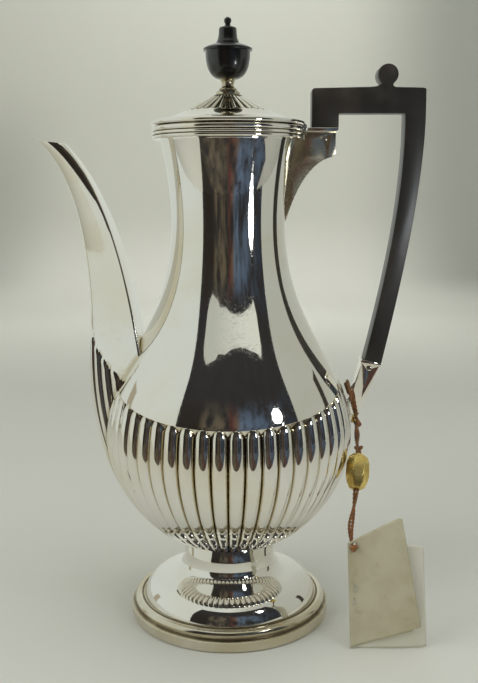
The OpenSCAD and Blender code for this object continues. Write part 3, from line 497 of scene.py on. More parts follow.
def lobe_tree():
    """Raises or sinks round-ended lobes on a mesh that says where they lie."""
    tree = bpy.data.node_groups.new("lobes", "GeometryNodeTree")
    add = tree.interface.new_socket
    add("Wall", in_out="INPUT", socket_type="NodeSocketGeometry")
    for name in ("Rise", "Groove depth", "Round end", "Hollow"):
        add(name, in_out="INPUT", socket_type="NodeSocketFloat")
    add("Metal", in_out="INPUT", socket_type="NodeSocketMaterial")
    add("Wall", in_out="OUTPUT", socket_type="NodeSocketGeometry")
    given = tree.nodes.new("NodeGroupInput")
    sockets = {s.name: Wire(tree, s) for s in given.outputs if s.name}
    w = Wire(tree)
    named = lambda name: w.node("GeometryNodeInputNamedAttribute", {"data_type": "FLOAT"}, {"Name": name})
    across, below, size = named("across"), named("below"), named("lobe_size")
    near_end = (1 - below / sockets["Round end"]).clamped()
    spread = across * across + near_end * near_end  # 1 on a lobe's outline
    arch = (1 - spread).clamped() ** 0.5
    sunk = (below * 3000).clamped() * (1 - near_end * near_end)
    raised = sockets["Rise"] * (1 + near_end * (1 - sockets["Hollow"]))
    out = ((raised + sockets["Groove depth"] * sunk) * arch - sockets["Groove depth"] * sunk) * size
    normal = w.node("GeometryNodeInputNormal", {}, {})
    push = w.node("ShaderNodeVectorMath", {"operation": "SCALE"}, {0: normal, 3: out})
    moved = w.node("GeometryNodeSetPosition", {}, {"Geometry": sockets["Wall"], "Offset": push})
    # A dark line round each lobe's outline, stored as groove: tarnish in the grooves between lobes, and
    # painted shade along the outlines. Hollow flutes are darker towards their middle, and solder seams add
    # their own tone.
    rim = 1 - arch
    line = rim ** 1.9 * 0.5 + rim ** 6.0 * 0.5
    outline_tarnish_and_shade = line * (1 - (spread - 1).clamped() * 2.6).clamped() * (below * 3000).clamped()
    groove_tarnish_and_shade = (outline_tarnish_and_shade + (arch * 0.7 - outline_tarnish_and_shade) * sockets["Hollow"] + named("soldered")).clamped()
    marked = w.node("GeometryNodeStoreNamedAttribute", {"data_type": "FLOAT", "domain": "POINT"},
                    {"Geometry": moved, "Name": "groove", "Value": groove_tarnish_and_shade})
    real = w.node("GeometryNodeRealizeInstances", {}, {"Geometry": marked})
    dressed = w.node("GeometryNodeSetMaterial", {}, {"Geometry": real, "Material": sockets["Metal"]})
    result = tree.nodes.new("NodeGroupOutput")
    tree.links.new(dressed.socket, result.inputs[0])
    return tree


def worked(piece, tree, **values):
    """Runs a node tree on a piece and keeps the result as its plain mesh."""
    crease = values.pop("crease", 38)
    run = piece.modifiers.new(tree.name, "NODES")
    run.node_group = tree
    for item in tree.interface.items_tree:
        key = item.name.replace(" ", "_").lower()
        if item.in_out == "INPUT" and key in values:
            run[item.identifier] = values[key]
    graph = bpy.context.evaluated_depsgraph_get()
    mesh = bpy.data.meshes.new_from_object(piece.evaluated_get(graph))
    piece.modifiers.clear()
    piece.data = mesh
    smooth(mesh, crease)
    return piece


chased = lobe_tree()
STEPS_A_LOBE = 12
body_steps = LOBES * STEPS_A_LOBE
body_rings = []
LOW_ROWS, END_ROWS, FADE_ROWS = 24, 16, 6
END_ZONE, OVER_END = 4.8, 0.15
for k in range(LOW_ROWS):
    body_rings.append(lambda a, s=k / LOW_ROWS: BOWL_Z + (lobe_end(a) - END_ZONE - BOWL_Z) * s)
for k in range(END_ROWS + 1):
    body_rings.append(lambda a, s=k / END_ROWS: lobe_end(a) - END_ZONE * (1 - s) ** 1.5)
for k in range(1, FADE_ROWS + 1):
    body_rings.append(lambda a, s=(k / FADE_ROWS) ** 1.4:
                      lobe_end(a) + OVER_END + (LOBED_TOP - lobe_end(a) - OVER_END) * s)
plain_rings = [p for p in wall if p[1] > LOBED_TOP + 1] + [(MOUTH_R, RIM_TOP)]
WALL_T, LOBED_T = 0.9, 3.2
lining = [(MOUTH_R - WALL_T, RIM_TOP)]
lining += [(r - (LOBED_T if z < LOBED_TOP - 1 else WALL_T), z) for r, z in wall[::-3] if z > 38]
lining += [(20.5, 35.4), (0.4, 34.8)]
points, across, below, size = [], [], [], []
for ring in body_rings:
    for c in range(body_steps):
        a = 2 * math.pi * c / body_steps
        z = ring(a)
        r = wall_r(z)
        points.append((r * math.cos(a), r * math.sin(a), z))
        across.append(2 * ((c / STEPS_A_LOBE) % 1) - 1)
        below.append((lobe_end(a) - z) * MM)
        size.append((r / BELLY_R) ** 0.8)
for r, z in plain_rings + lining:
    for c in range(body_steps):
        a = 2 * math.pi * c / body_steps
        points.append((r * math.cos(a), r * math.sin(a), z))
        across.append(0)
        below.append(-1)
        size.append(0)
body = mesh_piece("body_wall", points, tube_faces(len(points) // body_steps, body_steps), silver,
                  {"across": across, "below": below, "lobe_size": size})
worked(body, chased, rise=LOBE_RISE * MM, groove_depth=LOBE_DEPTH * MM, round_end=4.2 * MM, hollow=0.0,
       metal=silver)
fit(body, "pot", "silver", "body")


# ---- Spout ---------------------------------------------------------------------------
# Raised in one piece and soldered over a strainer cut in the bowl: round in front, flat
# behind with rolled edges, lobed at its root, and open in a beak level with the rim.
SPOUT_W, TIP_W = 16.0, 4.4
ROOT_ROWS, NECK_ROWS = 78, 51
SPOUT_ROWS = ROOT_ROWS + NECK_ROWS
spout_front = bezier([(-40, 47), (-54, 62), (-60.5, 92), (-58, 122)], ROOT_ROWS) + bezier(
    [(-58, 122), (-57.2, 150), (-61, 188), (-77.6, 201.8)], NECK_ROWS, 1)
spout_back = bezier([(-22, 55), (-26, 74), (-32, 99), (-36, 116)], ROOT_ROWS) + bezier(
    [(-36, 116), (-40, 140), (-47, 180), (-66.5, 200.6)], NECK_ROWS, 1)
SIDE_STEPS, ROLL_STEPS, FLAT_STEPS = 96, 6, 8


def spout_width(k):
    if k <= ROOT_ROWS:
        return SPOUT_W + 4 * (1 - (k / ROOT_ROWS) ** 2)
    return TIP_W + (SPOUT_W - TIP_W) * (1 - (k - ROOT_ROWS) / NECK_ROWS) ** 0.85


def towards(a, b, c, t):
    """A point of the curve from a to c that heads for b."""
    return tuple((1 - t) ** 2 * p + 2 * (1 - t) * t * q + t * t * r for p, q, r in zip(a, b, c))


def spout_ring(k, inset=0.0):
    """One row: round the front from edge to edge, a rolled edge, and the flat back."""
    front, back = Vector(spout_front[k]), Vector(spout_back[k])
    outward = (front - back).normalized()
    deep = (front - back).length - 2 * inset
    row = 8 * k / ROOT_ROWS if k <= ROOT_ROWS else 8 + 8 * (k - ROOT_ROWS) / NECK_ROWS
    round_side = (max(0, row / 8 - 1.4) / 0.6) ** 1.5
    fullness = 1.5 * round_side + 1.1 * max(0, 1 - row / 8) - 0.5
    w = spout_width(k) - (1.8 - 0.8 * round_side) * inset
    roll = 0.9 + 1.0 * round_side
    side = []
    for j in range(SIDE_STEPS + 1):
        s = 1 - 2 * j / SIDE_STEPS
        t = 1 - abs(s) ** 1.5
        side.append((math.copysign(w, s) * math.sqrt((1 - t) * (1 + fullness * t)), inset + deep * t))
    first = next(j for j, p in enumerate(side) if p[1] - inset > roll)
    arch = [side[max(first, min(SIDE_STEPS - first, j))] for j in range(SIDE_STEPS + 1)]
    round_edge = [(s + 1) / (ROLL_STEPS + 1) for s in range(ROLL_STEPS)]
    near = [towards(arch[-1], (-w, inset), (roll - w, inset), t) for t in round_edge]
    far = [towards((w - roll, inset), (w, inset), arch[0], t) for t in round_edge]
    flat = [(roll - w + (2 * w - 2 * roll) * s / FLAT_STEPS, inset) for s in range(FLAT_STEPS + 1)]
    return [(back.x + outward.x * d, y, back.y + outward.y * d) for y, d in arch + near + flat + far]


def outside_body(p):
    """Points inside the wall are kept just under its skin, where they don't show."""
    r, least = math.hypot(p[0], p[1]), wall_r(p[2]) - 0.35
    return p if r >= least else (p[0] * least / r, p[1] * least / r, p[2])


SPOUT_LOBES, SPOUT_LOBE_TOP, SPOUT_LOBE_FALL = 12, 122, 24
SOLDER_TONE, SOLDER_W, SOLDER_TOP = 0.42, 1.6, 135
columns = len(spout_ring(ROOT_ROWS))
points, across, below, size, soldered = [], [], [], [], []
for k in range(SPOUT_ROWS + 1):
    ring = spout_ring(k)
    for j, p in enumerate(ring):
        f = j / SIDE_STEPS
        points.append(outside_body(p))
        front = j <= SIDE_STEPS
        top = SPOUT_LOBE_TOP - SPOUT_LOBE_FALL * abs(2 * f - 1)
        middle_z = (spout_front[k][1] + spout_back[k][1]) / 2
        across.append(2 * ((f * SPOUT_LOBES) % 1) - 1 if front else 1)
        below.append((top - middle_z) * MM if front else -1)
        size.append(min(1, 4 * f, 4 * (1 - f)) if front else 0)
        clear = math.hypot(p[0], p[1]) - wall_r(p[2])
        soldered.append(SOLDER_TONE * max(0, 1 - abs(clear - 0.3) / SOLDER_W) if p[2] < SOLDER_TOP else 0)
LIP_INSET, LIP_LIFT = 0.35, 0.15
channel_rows = [(SPOUT_ROWS, LIP_INSET), (SPOUT_ROWS, 0.9)]
channel_rows += [(k, 1.0) for k in range(SPOUT_ROWS - 3, ROOT_ROWS + 6, -4)]
for k, inset in channel_rows:
    lift = LIP_LIFT if inset == LIP_INSET else 0
    for p in spout_ring(k, inset):
        points.append((p[0], p[1], p[2] + lift))
        across.append(0)
        below.append(-1)
        size.append(0)
        soldered.append(0)
spout = mesh_piece("spout_shell", points, tube_faces(len(points) // columns, columns), silver,
                   {"across": across, "below": below, "lobe_size": size, "soldered": soldered}, crease=50)
worked(spout, chased, rise=LOBE_RISE * MM, groove_depth=1.4 * MM, round_end=3.0 * MM, hollow=0.0,
       metal=silver, crease=50)
fit(spout, "pot", "silver", "spout")


# ---- Foot ----------------------------------------------------------------------------
# A spun dome on a slim stem, soldered under the bowl, with a plain upright band and a
# half-round moulding applied round its edge.
def arc(cx, cz, r, a0, a1, n):
    return [(cx + r * math.cos(math.radians(a0 + (a1 - a0) * i / n)),
             cz + r * math.sin(math.radians(a0 + (a1 - a0) * i / n))) for i in range(n + 1)]


STEM_R, STEM_Z, SEAM_R, SEAM_Z, FOOT_R = 19.1, 24.5, 37.2, 8.3, 42.9
FOOT_T = 1
foot_outer = bezier([(BOWL_R, BOWL_Z), (BOWL_R - 1.6, 30), (STEM_R, STEM_Z + 3), (STEM_R, STEM_Z)], 16)
foot_outer += bezier(
    [(STEM_R, STEM_Z), (STEM_R, STEM_Z - 9.5), (SEAM_R - 2.7, SEAM_Z + 12.7), (SEAM_R, SEAM_Z)], 56, 1)
foot_inner = [(r - FOOT_T, z - (FOOT_T if z < STEM_Z else 0)) for r, z in foot_outer[::-1]]
fit(turned("foot_dome", foot_outer + foot_inner, silver, 192), "pot", "silver", "foot")
foot_band = [(40, 0.0), (FOOT_R - 0.3, 0.0), (FOOT_R, 0.3), (FOOT_R, 4.1), (FOOT_R - 0.3, 4.4), (41.6, 4.7),
             (41.35, 5.0), (41.3, 5.6)]
foot_seam = [(37.75, 8.2), (37.5, 8.3), (37.2, 8.2), (37.2, 7.3), (36, 7.3), (36, 6.1), (40, 3.4)]
foot_edge = foot_band + arc(39.4, 6.0, 2.2, 15, 120, 14) + foot_seam
fit(turned("foot_moulding", foot_edge, old_silver, 192, grime_and_shade=0.22), "pot", "silver", "foot_rim")


# ---- Reeded rim ----------------------------------------------------------------------
# Three drawn reeds soldered round the mouth, the top one the boldest, cut away behind
# for the hinge.
SLOT_X, SLOT_W, SEAT_Z = 28.85, 14.6, 204.9


def slotted(piece, above):
    """Cuts the hinge's slot into a turned rim."""
    for v in piece.data.vertices:
        x, y, z = (c / MM for c in v.co)
        if x > SLOT_X and abs(y) <= SLOT_W / 2 + 0.3 and z > above:
            v.co.x = SLOT_X * MM
    return piece


rim_profile = ([(MOUTH_R, RIM_Z)] + arc(30.1, 202.8, 0.8, -90, 75, 10) + arc(30.6, 204.2, 0.6, -60, 60, 8)
               + arc(29.9, 206.0, 1.2, -65, 90, 14) + [(MOUTH_R, RIM_TOP)])
body_rim = slotted(turned("mouth_reeds", rim_profile, silver, 480, crease=45), SEAT_Z)
fit(body_rim, "pot", "silver", "body_rim")


# ---- Lid -----------------------------------------------------------------------------
# A shallow raised lid with hollow flutes round its crown, a moulded edge and a bezel
# that drops inside the mouth. It has its own hinge leaf at the back.
LID_IN, LID_TOP, CROWN_R, CROWN_Z, CONE_R, CONE_TOP = 28.2, 209.7, 18.0, 213.1, 5.0, 220.0
FLUTES, STEPS_A_FLUTE = 32, 12
lid_steps = FLUTES * STEPS_A_FLUTE
lid_outer = [(LID_IN, 208.9), (LID_IN, LID_TOP)]
lid_outer += bezier([(LID_IN, LID_TOP), (LID_IN - 3, LID_TOP + 0.5), (CROWN_R + 4, LID_TOP + 1.5),
                     (CROWN_R + 0.2, CROWN_Z)], 14, 1)
cone = [(CROWN_R + (CONE_R - CROWN_R) * s, CROWN_Z + 0.05 + (CONE_TOP - CROWN_Z - 0.05) * s)
        for s in [0.2 * (k / 10) ** 1.3 for k in range(11)] + [0.2 + 0.8 * k / 14 for k in range(1, 15)]]
lid_inner = [(0.9, CONE_TOP), (0.9, 218.5), (CONE_R, 218.5), (CROWN_R - 0.4, 211.6), (21.6, 210.4),
             (24.4, 208.8), (26.6, 208.8)]
CONE_LENGTH, FLUTE_SHARE = 14.7, 0.86
points, across, below, size = [], [], [], []
for r, z in lid_outer + cone + lid_inner:
    on_cone = (r, z) in cone
    s = (CROWN_R - r) / (CROWN_R - CONE_R)
    for c in range(lid_steps):
        a = 2 * math.pi * c / lid_steps
        points.append((r * math.cos(a), r * math.sin(a), z))
        across.append((2 * ((c / STEPS_A_FLUTE) % 1) - 1) / FLUTE_SHARE)
        below.append(s * CONE_LENGTH * MM if on_cone else -1)
        size.append(min(1, 6 * (1 - s)) * (0.35 + 0.65 * r / CROWN_R) if on_cone else 0)
lid = mesh_piece("lid_crown", points, tube_faces(len(points) // lid_steps, lid_steps, True), silver,
                 {"across": across, "below": below, "lobe_size": size})
worked(lid, chased, rise=-1.3 * MM, groove_depth=0.0, round_end=1.2 * MM, hollow=1.0,
       metal=silver, crease=50)
fit(lid, "lid", "silver", "lid")

edge_profile = ([(LID_IN, 207.5)] + arc(30.8, 208.3, 0.8, -90, 50, 10)
                + bezier([(31.31, 208.91), (30.6, 209.4), (29.2, 209.7), (LID_IN, 209.7)], 8, 1))
lid_rim = slotted(turned("lid_edge", edge_profile, silver, 480, crease=45), 207)
fit(lid_rim, "lid", "silver", "lid_rim")
bezel_profile = [(25.5, 202.2), (26.2, 202.2), (26.4, 202.5), (26.4, 208.8), (25.5, 208.8)]
fit(turned("lid_bezel_ring", bezel_profile, old_silver, 160), "lid", "silver", "lid_bezel")


# ---- Finial --------------------------------------------------------------------------
# A turned urn of ebonised wood on a silver collar, with a turned cap, all held by one
# bolt with a washer and a nut under the lid.
def ebony_paint(stretch, tone):
    def paint(w):
        place = w.place()
        grain = w.noise(w.stretched(place, *stretch), 420, 5, 0.62, 0.4)
        streak = w.noise(w.stretched(place, *stretch), 90, 3).step(0.4, 0.75)
        worn = w.noise(place, 45, 3).step(0.5, 0.8)
        black, brown, rubbed = (tuple(c * tone for c in colour) for colour in (
            (0.0098, 0.0090, 0.0080), (0.020, 0.0165, 0.0135), (0.030, 0.026, 0.022)))
        return {"Base Color": worn.blend(streak.blend(black, brown), rubbed),
                "Roughness": grain * 0.14 + worn * 0.08 + 0.24,
                "Normal": w.bumped(grain, 0.16, 0.0003)}
    return paint


# The board's wood is painted over five times lighter than the finial's: part of that is painted sheen, the
# grey shine the board takes from the pale walls, and part is its own brown.
ebony = finish("ebonised_wood", {"Coat Roughness": 0.18, "IOR": 1.5}, ebony_paint((1, 1, 0.12), 2.7))
turned_ebony = finish("ebonised_turning", {"Coat Roughness": 0.05, "IOR": 1.45, "Coat Weight": 0.7},
                      ebony_paint((1, 1, 1), 0.5))
BORE_R, COLLAR_Z, URN_Z, CAP_Z, BOLT_Z, BOLT_TOP = 1.1, 220.0, 225.9, 239.8, 214.2, 243.9
collar_profile = [(BORE_R, COLLAR_Z), (4.9, COLLAR_Z), (4.9, 220.7), (4.6, 221.0), (4.0, 221.3),
                  (3.6, 221.8), (3.5, 222.2), (3.1, 222.45)]
collar_profile += bezier([(3.1, 222.5), (2.1, 223.2), (2.2, 224.7), (3.3, URN_Z)], 12, 1) + [(BORE_R, URN_Z)]
collar = turned("finial_collar_turned", collar_profile, old_silver, 96, grime_and_shade=0.3)
fit(collar, "lid", "silver", "finial_collar")
urn_profile = [(BORE_R, URN_Z)] + bezier([(3.3, URN_Z), (6.85, 226.4), (9.05, 229.7), (9.05, 236.7)], 28)
urn_profile += [(9.75, 236.95), (9.85, 237.2), (9.85, 237.8), (9.7, 238.0), (8.4, 238.6), (6.6, 239.3),
                (4.9, CAP_Z), (BORE_R, CAP_Z)]
fit(turned("finial_urn_turned", urn_profile, turned_ebony, 128), "lid", "dark_wood", "finial_urn")
cap_profile = [(BORE_R, CAP_Z), (4.7, CAP_Z), (4.65, 240.2), (4.35, 240.8), (4.1, 241.4), (3.85, 242.3),
               (3.68, 243.4), (3.62, 244.5), (3.6, 245.2), (3.45, 245.7), (3.2, 246.0), (2.2, 246.3),
               (1.45, 246.6), (1.1, 247.0), (1.05, 247.5)]
cap_profile += arc(0, 248.6, 1.5, -45, 88, 14) + [(0.2, 250.08), (0.2, 244.1), (BORE_R, BOLT_TOP)]
fit(turned("finial_cap_turned", cap_profile, turned_ebony, 96), "lid", "dark_wood", "finial_cap")
bolt_profile = [(0.02, BOLT_Z), (0.8, BOLT_Z), (1, BOLT_Z + 0.2), (1, BOLT_TOP - 0.2), (0.8, BOLT_TOP),
                (0.02, BOLT_TOP)]
fit(turned("finial_bolt_shank", bolt_profile, old_silver, 48), "lid", "silver", "finial_bolt")
washer_profile = [(1.05, 217.9), (3.1, 217.9), (3.2, 218.0), (3.2, 218.4), (3.1, 218.5), (1.05, 218.5)]
fit(turned("finial_washer_disc", washer_profile, old_silver, 64), "lid", "silver", "finial_washer")
nut_profile = [(1.05, 215.2), (2.2, 215.2), (2.45, 215.45), (2.45, 216.8), (2.2, 217.1), (1.05, 217.1)]
nut = turned("finial_nut_hexagon", nut_profile, old_silver, 6, crease=20)
fit(nut, "lid", "silver", "finial_nut")


# ---- Hinge, sockets and pins ---------------------------------------------------------
# A five-knuckle hinge behind the mouth, tapered sockets soldered to the mouth and to
# the belly, and the silver pins through the wood. All edges are eased by polishing.
ARM_TOP, ARM_DROP, SHARP_DEG = 112.0, 34.0, 32


def eased(node, name, body, material, width, slot="silver", slim=0.0):
    """A finished copy of a frame piece, with its edges rounded and its foot slimmed."""
    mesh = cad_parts[node].data.copy()
    work = bmesh.new()
    work.from_mesh(mesh)
    bmesh.ops.remove_doubles(work, verts=work.verts, dist=2e-6)
    bmesh.ops.dissolve_limit(work, angle_limit=math.radians(1.5), verts=work.verts, edges=work.edges)
    for z in (ARM_TOP, ARM_TOP - ARM_DROP) if slim else ():
        bmesh.ops.bisect_plane(work, geom=work.verts[:] + work.edges[:] + work.faces[:],
                               plane_co=(0, 0, z * MM), plane_no=(0, 0, 1))
    for v in work.verts:
        v.co.y *= 1 - slim * min(1, max(0, (ARM_TOP * MM - v.co.z) / (ARM_DROP * MM)))
    work.to_mesh(mesh)
    work.free()
    mesh.materials.clear()
    mesh.materials.append(material)
    made = placed(name, mesh)
    ease = made.modifiers.new("eased", "BEVEL")
    ease.width, ease.segments = width * MM, 2
    ease.limit_method, ease.angle_limit = "ANGLE", math.radians(SHARP_DEG)
    graph = bpy.context.evaluated_depsgraph_get()
    made.data = bpy.data.meshes.new_from_object(made.evaluated_get(graph))
    made.modifiers.clear()
    smooth(made.data, SHARP_DEG)
    return fit(made, body, slot, node)


eased("pot_hinge_leaf", "hinge_leaf_pot", "pot", old_silver, 0.06)
eased("lid_hinge_leaf", "hinge_leaf_lid", "lid", old_silver, 0.06)
eased("hinge_pin", "hinge_pin_wire", "pot", old_silver, 0.05)
eased("upper_socket", "handle_socket_upper", "pot", plate_silver, 0.3)
eased("upper_socket_band", "handle_band_upper", "pot", old_silver, 0.3)
eased("lower_socket", "handle_socket_lower", "pot", silver, 0.3, slim=0.72)
eased("lower_socket_band", "handle_band_lower", "pot", silver, 0.3)
eased("upper_handle_pin", "handle_pin_upper", "pot", old_silver, 0.15)
eased("lower_handle_pin", "handle_pin_lower", "pot", old_silver, 0.15)


# ---- Handle --------------------------------------------------------------------------
# Sawn and filed from one ebonised board: a short front leg, a level top bar with a disc
# for the thumb, and a long curved grip. Its ends are pinned in the two sockets.
HANDLE_T, LEG_X, LEG_IN, LEG_LOW, BAR_TOP, GRIP_X = 9.0, 33.7, 44.6, 206.6, 222.2, 79.6
JOINT, TILT = (59.9, 110.7), math.radians(12)


def at_joint(w, h):
    """The point w across and h up from the middle of the lower joint, which leans with the grip."""
    return (JOINT[0] + w * math.cos(TILT) + h * math.sin(TILT),
            JOINT[1] - w * math.sin(TILT) + h * math.cos(TILT))


thumb_x, thumb_z, thumb_r = LEG_IN + 19.5, BAR_TOP + 5.2, 4.1
GRIP_END_W, GRIP_OUT = 7.3, 0.6
out_end, in_end = at_joint(GRIP_END_W / 2 + GRIP_OUT, 0), at_joint(-GRIP_END_W / 2 + GRIP_OUT, 0)
out_top, in_top = (GRIP_X, BAR_TOP - 8.6), (GRIP_X - 8.3, BAR_TOP - 10)
outline = [(LEG_X, LEG_LOW), (LEG_X, BAR_TOP - 1.1)]
outline += [(LEG_X + 0.3, BAR_TOP - 0.5), (LEG_X + 0.9, BAR_TOP - 0.15)]
outline += [(thumb_x - 7, BAR_TOP + 0.3), (thumb_x - 5, BAR_TOP + 0.5), (thumb_x - 3.6, BAR_TOP + 1.0)]
outline += [(thumb_x - 2.7, BAR_TOP + 1.6)]
outline += [(thumb_x + thumb_r * math.cos(math.radians(a)), thumb_z + thumb_r * math.sin(math.radians(a)))
            for a in range(236, -57, -10)]
outline += [(thumb_x + 2.1, BAR_TOP + 1.1), (thumb_x + 2.5, BAR_TOP + 0.5), (thumb_x + 3.2, BAR_TOP + 0.25)]
outline += [(GRIP_X - 1.4, BAR_TOP), (GRIP_X - 0.5, BAR_TOP - 0.2), (GRIP_X - 0.1, BAR_TOP - 0.7)]
outline += bezier([out_top, (out_top[0] + 0.2, out_top[1] - 28),
                   (out_end[0] + 8.4, out_end[1] + 37.5), out_end], 28)
outline += bezier([in_top, (in_top[0] + 0.6, in_top[1] - 32),
                   (in_end[0] + 8.5, in_end[1] + 35.6), in_end], 28)[::-1]
outline += [(LEG_IN + 0.4, BAR_TOP - 10), (LEG_IN, BAR_TOP - 10.4), (LEG_IN, LEG_LOW)]
half = HANDLE_T / 2
points = [(x, -half, z) for x, z in outline] + [(x, half, z) for x, z in outline]
n = len(outline)
faces = [tuple(range(n)), tuple(range(n, 2 * n))[::-1]]
faces += [(i, (i + 1) % n, n + (i + 1) % n, n + i) for i in range(n)]
handle = mesh_piece("handle_board", points, faces, ebony, crease=40)
round_over = handle.modifiers.new("filed_edges", "BEVEL")
round_over.width, round_over.segments, round_over.limit_method = 0.8 * MM, 3, "ANGLE"
round_over.angle_limit = math.radians(60)
handle.data = bpy.data.meshes.new_from_object(handle.evaluated_get(bpy.context.evaluated_depsgraph_get()))
handle.modifiers.clear()
smooth(handle.data, 40)
fit(handle, "pot", "dark_wood", "handle")


# ---- Studio --------------------------------------------------------------------------
# A pale paper cove with painted shade in a band low on its wall and towards its sides,
# wide soft lamps that light the paper but aren't mirrored, and one small tall lamp near
# the pot for its sharp highlights.
def cove_paint(w):
    place = w.place()
    x, z = (w.node("ShaderNodeSeparateXYZ", {}, {0: place}, out=k) for k in (0, 2))
    paper = w.noise(place, 3, 2).blend((0.74, 0.75, 0.69), (0.78, 0.79, 0.73))
    # Painted shade: darker paper in a band low on the wall, towards the right, and at the lower left.
    paper_with_band_shade = (z.step(0.0, 0.16) * z.step(0.95, 0.25)).blend(paper, (0.58, 0.59, 0.53))
    right, left = x.step(0.20, 0.44), x.step(-0.30, -0.46) * z.step(0.42, 0.20) * 0.6
    painted_side_shade = (right + left).clamped() * z.step(-0.02, 0.04)
    return {"Base Color": painted_side_shade.blend(paper_with_band_shade, (0.37, 0.38, 0.345)), "Roughness": 0.75}


def staged(name, points, faces, material, seen=True):
    mesh = mesh_from(name, points, faces, material)
    mesh.polygons.foreach_set("use_smooth", [True] * len(mesh.polygons))
    made = placed(name, mesh)
    made.visible_camera = made.visible_shadow = made.visible_diffuse = seen
    return made


COVE_STEPS, UNDER_FOOT = 96, 0.2
cove_profile = [(0.5, 0), (900, 0)] + arc(1100, 400, 400, -90, 0, 16) + [(1500, 1300)]
cove_turns = [2 * math.pi * c / COVE_STEPS for c in range(COVE_STEPS)]
cove_points = [(r * math.cos(a), r * math.sin(a), z - UNDER_FOOT)
               for r, z in cove_profile for a in cove_turns]
staged("cove", cove_points, tube_faces(len(cove_profile), COVE_STEPS)[:-1],
       finish("cove_paper", {}, cove_paint))


# Painted reflections: glowing screens that the camera doesn't see and only the silver
# mirrors: pale walls, lighter on the left, and behind the camera an unlit room with a
# warmer and a bluer part and a dark floor. A door frame, the edge of a wall and a pale
# card low round the pot's shoulder draw their own lines in it.
def mirrored(name, across, dim=None, low=0, high=1):
    """A glowing finish for a painted reflection; it varies from left to right by stops, and is dim above a
    height.
    """
    def paint(w):
        place = w.place()
        x, z = (w.node("ShaderNodeSeparateXYZ", {}, {0: place}, out=k) for k in (0, 2))
        colour = w.node("ShaderNodeValToRGB", {"stops": across}, {"Fac": x * 0.5 + 0.5})
        if dim:
            colour = z.step(low, high).blend(colour, dim)
            patch = w.noise(w.stretched(place, 3, 3, 1.6), 2.4, 4, 0.6).step(0.35, 0.66)
            colour = patch.blend(colour, tuple(c * 0.85 for c in dim))
        return {"Emission Color": colour}
    return finish(name, {"Emission Strength": 1.0, "Base Color": (0, 0, 0, 1), "Roughness": 1.0}, paint)


unlit_room = mirrored("unlit_room", [
    (0.13, (0.022, 0.016, 0.012)), (0.27, (0.018, 0.013, 0.010)), (0.32, (0.13, 0.11, 0.075)),
    (0.48, (0.10, 0.082, 0.058)), (0.52, (0.10, 0.032, 0.024)), (0.57, (0.12, 0.085, 0.066)),
    (0.60, (0.10, 0.14, 0.205)), (0.78, (0.07, 0.10, 0.15)), (0.93, (0.022, 0.030, 0.046))],
    (0.026, 0.024, 0.024), 0.40, 0.80)
pale_walls = mirrored("pale_walls", [
    (0.0, (0.62, 0.66, 0.615)), (0.25, (0.59, 0.63, 0.585)), (0.5, (0.65, 0.68, 0.62)),
    (0.72, (0.48, 0.50, 0.45)), (1.0, (0.42, 0.44, 0.39))])
door_frame = mirrored("door_frame", [(0.0, (0.040, 0.034, 0.026)), (1.0, (0.036, 0.032, 0.026))])
wall_edge = mirrored("wall_edge", [(0.0, (0.36, 0.33, 0.24)), (1.0, (0.36, 0.33, 0.24))])
reflector = mirrored("reflector", [(0.485, (0.46, 0.48, 0.42)), (0.515, (0.66, 0.68, 0.60))])


def screen(name, radius, a0, a1, z0, z1, material, steps=24):
    """A curved screen round the pot, from one bearing to another."""
    angles = [math.radians(a0 + (a1 - a0) * c / steps) for c in range(steps + 1)]
    points = [(radius * math.sin(a), -radius * math.cos(a), z) for z in (z0, z1) for a in angles]
    faces = [(c, c + 1, steps + 2 + c, steps + 1 + c) for c in range(steps)]
    return staged(name, points, faces, material, False)


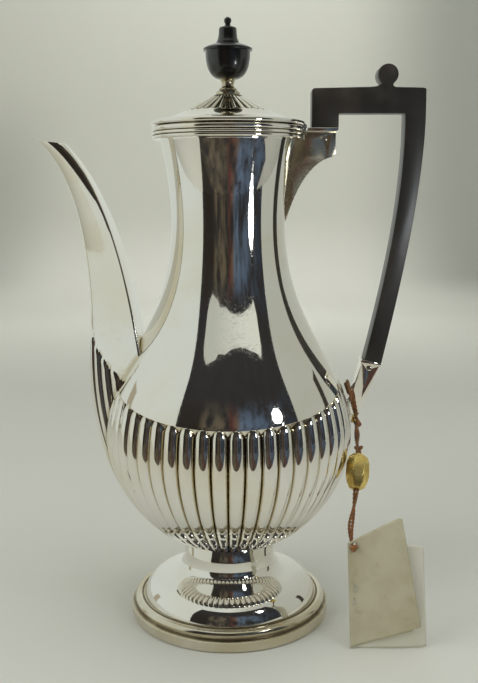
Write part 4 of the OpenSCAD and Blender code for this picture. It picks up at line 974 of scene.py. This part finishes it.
ROOM_R, ROOM_TOP = 950, 1290
screen("room_wall", ROOM_R, -50, 68, 5, ROOM_TOP, unlit_room)
screen("pale_wall", ROOM_R + 10, 68, 310, 5, ROOM_TOP, pale_walls, 96)
ceiling_r = ROOM_R + 20
ceiling_points = [(ceiling_r * math.sin(a), -ceiling_r * math.cos(a), ROOM_TOP)
                  for a in (2 * math.pi * c / 48 for c in range(48))]
staged("ceiling", ceiling_points, [tuple(range(48))], pale_walls, False)
staged("room_floor", [(-282, -245, 4), (700, -245, 4), (900, -900, 4), (-400, -1000, 4), (-720, -626, 4)],
       [(0, 1, 2, 3, 4)], unlit_room, False)
screen("right_frame", ROOM_R - 10, 106.5, 113, 5, 430, door_frame)
screen("left_edge", ROOM_R - 10, -118, -109, 5, 330, wall_edge)
# A glowing sheet over the shoulder that paints the reflection of a pale card.
REFLECTOR_Z, REFLECTOR_IN = 180, 88
reflector_edge = [(-30, 96), (-28, 100), (-24.5, 103), (-15, 98), (-12, 95), (-4, 94.5), (2.4, 92.8),
                  (10, 92.6), (18, 93.5), (26, 96), (35, 100), (38, 103), (40.7, 98.7)]
reflector_round = reflector_edge + [(a, REFLECTOR_IN) for a, r in reflector_edge[::-1]]
reflector_points = [(r * math.sin(math.radians(a)), -r * math.cos(math.radians(a)), REFLECTOR_Z)
                    for a, r in reflector_round]
n = len(reflector_edge)
reflector_faces = [(c, c + 1, 2 * n - 2 - c, 2 * n - 1 - c) for c in range(n - 1)]
staged("reflector_card", reflector_points, reflector_faces, reflector, False)


def lamp(name, place, aim, size, power, colour=(1, 0.99, 0.96), glint=False):
    data = bpy.data.lights.new(name, "AREA")
    data.shape, (data.size, data.size_y) = "ELLIPSE" if glint else "RECTANGLE", size
    data.energy, data.color = power, colour
    made = bpy.data.objects.new(name, data)
    made.matrix_world = (Matrix.Translation(place)
                         @ (Vector(aim) - Vector(place)).to_track_quat("-Z", "Y").to_matrix().to_4x4())
    made.visible_camera, made.visible_glossy = False, glint
    bpy.context.scene.collection.objects.link(made)


lamp("left_panel", (-0.95, -0.55, 0.75), (0, 0, 0.1), (0.8, 0.8), 4.6)
lamp("right_panel", (1.0, -0.35, 0.75), (0, 0, 0.1), (0.7, 0.8), 1.7)
lamp("top_panel", (0.1, -0.05, 1.25), (0, 0, 0), (1.1, 1.1), 5.6)
lamp("back_glow", (0.02, 0.80, 0.66), (0.03, 1.35, 0.34), (0.30, 0.30), 2.9)
lamp("highlight_lamp", (0.141, -0.15, 0.161), (0, -0.02, 0.145), (0.030, 0.038), 0.045,
     (0.93, 0.97, 1), True)

world = bpy.data.worlds.new("soft_room")
world.use_nodes = True
world.node_tree.nodes["Background"].inputs["Color"].default_value = (0.80, 0.82, 0.78, 1)
world.node_tree.nodes["Background"].inputs["Strength"].default_value = 0.16
bpy.context.scene.world = world
bpy.context.scene.view_settings.view_transform = "Standard"
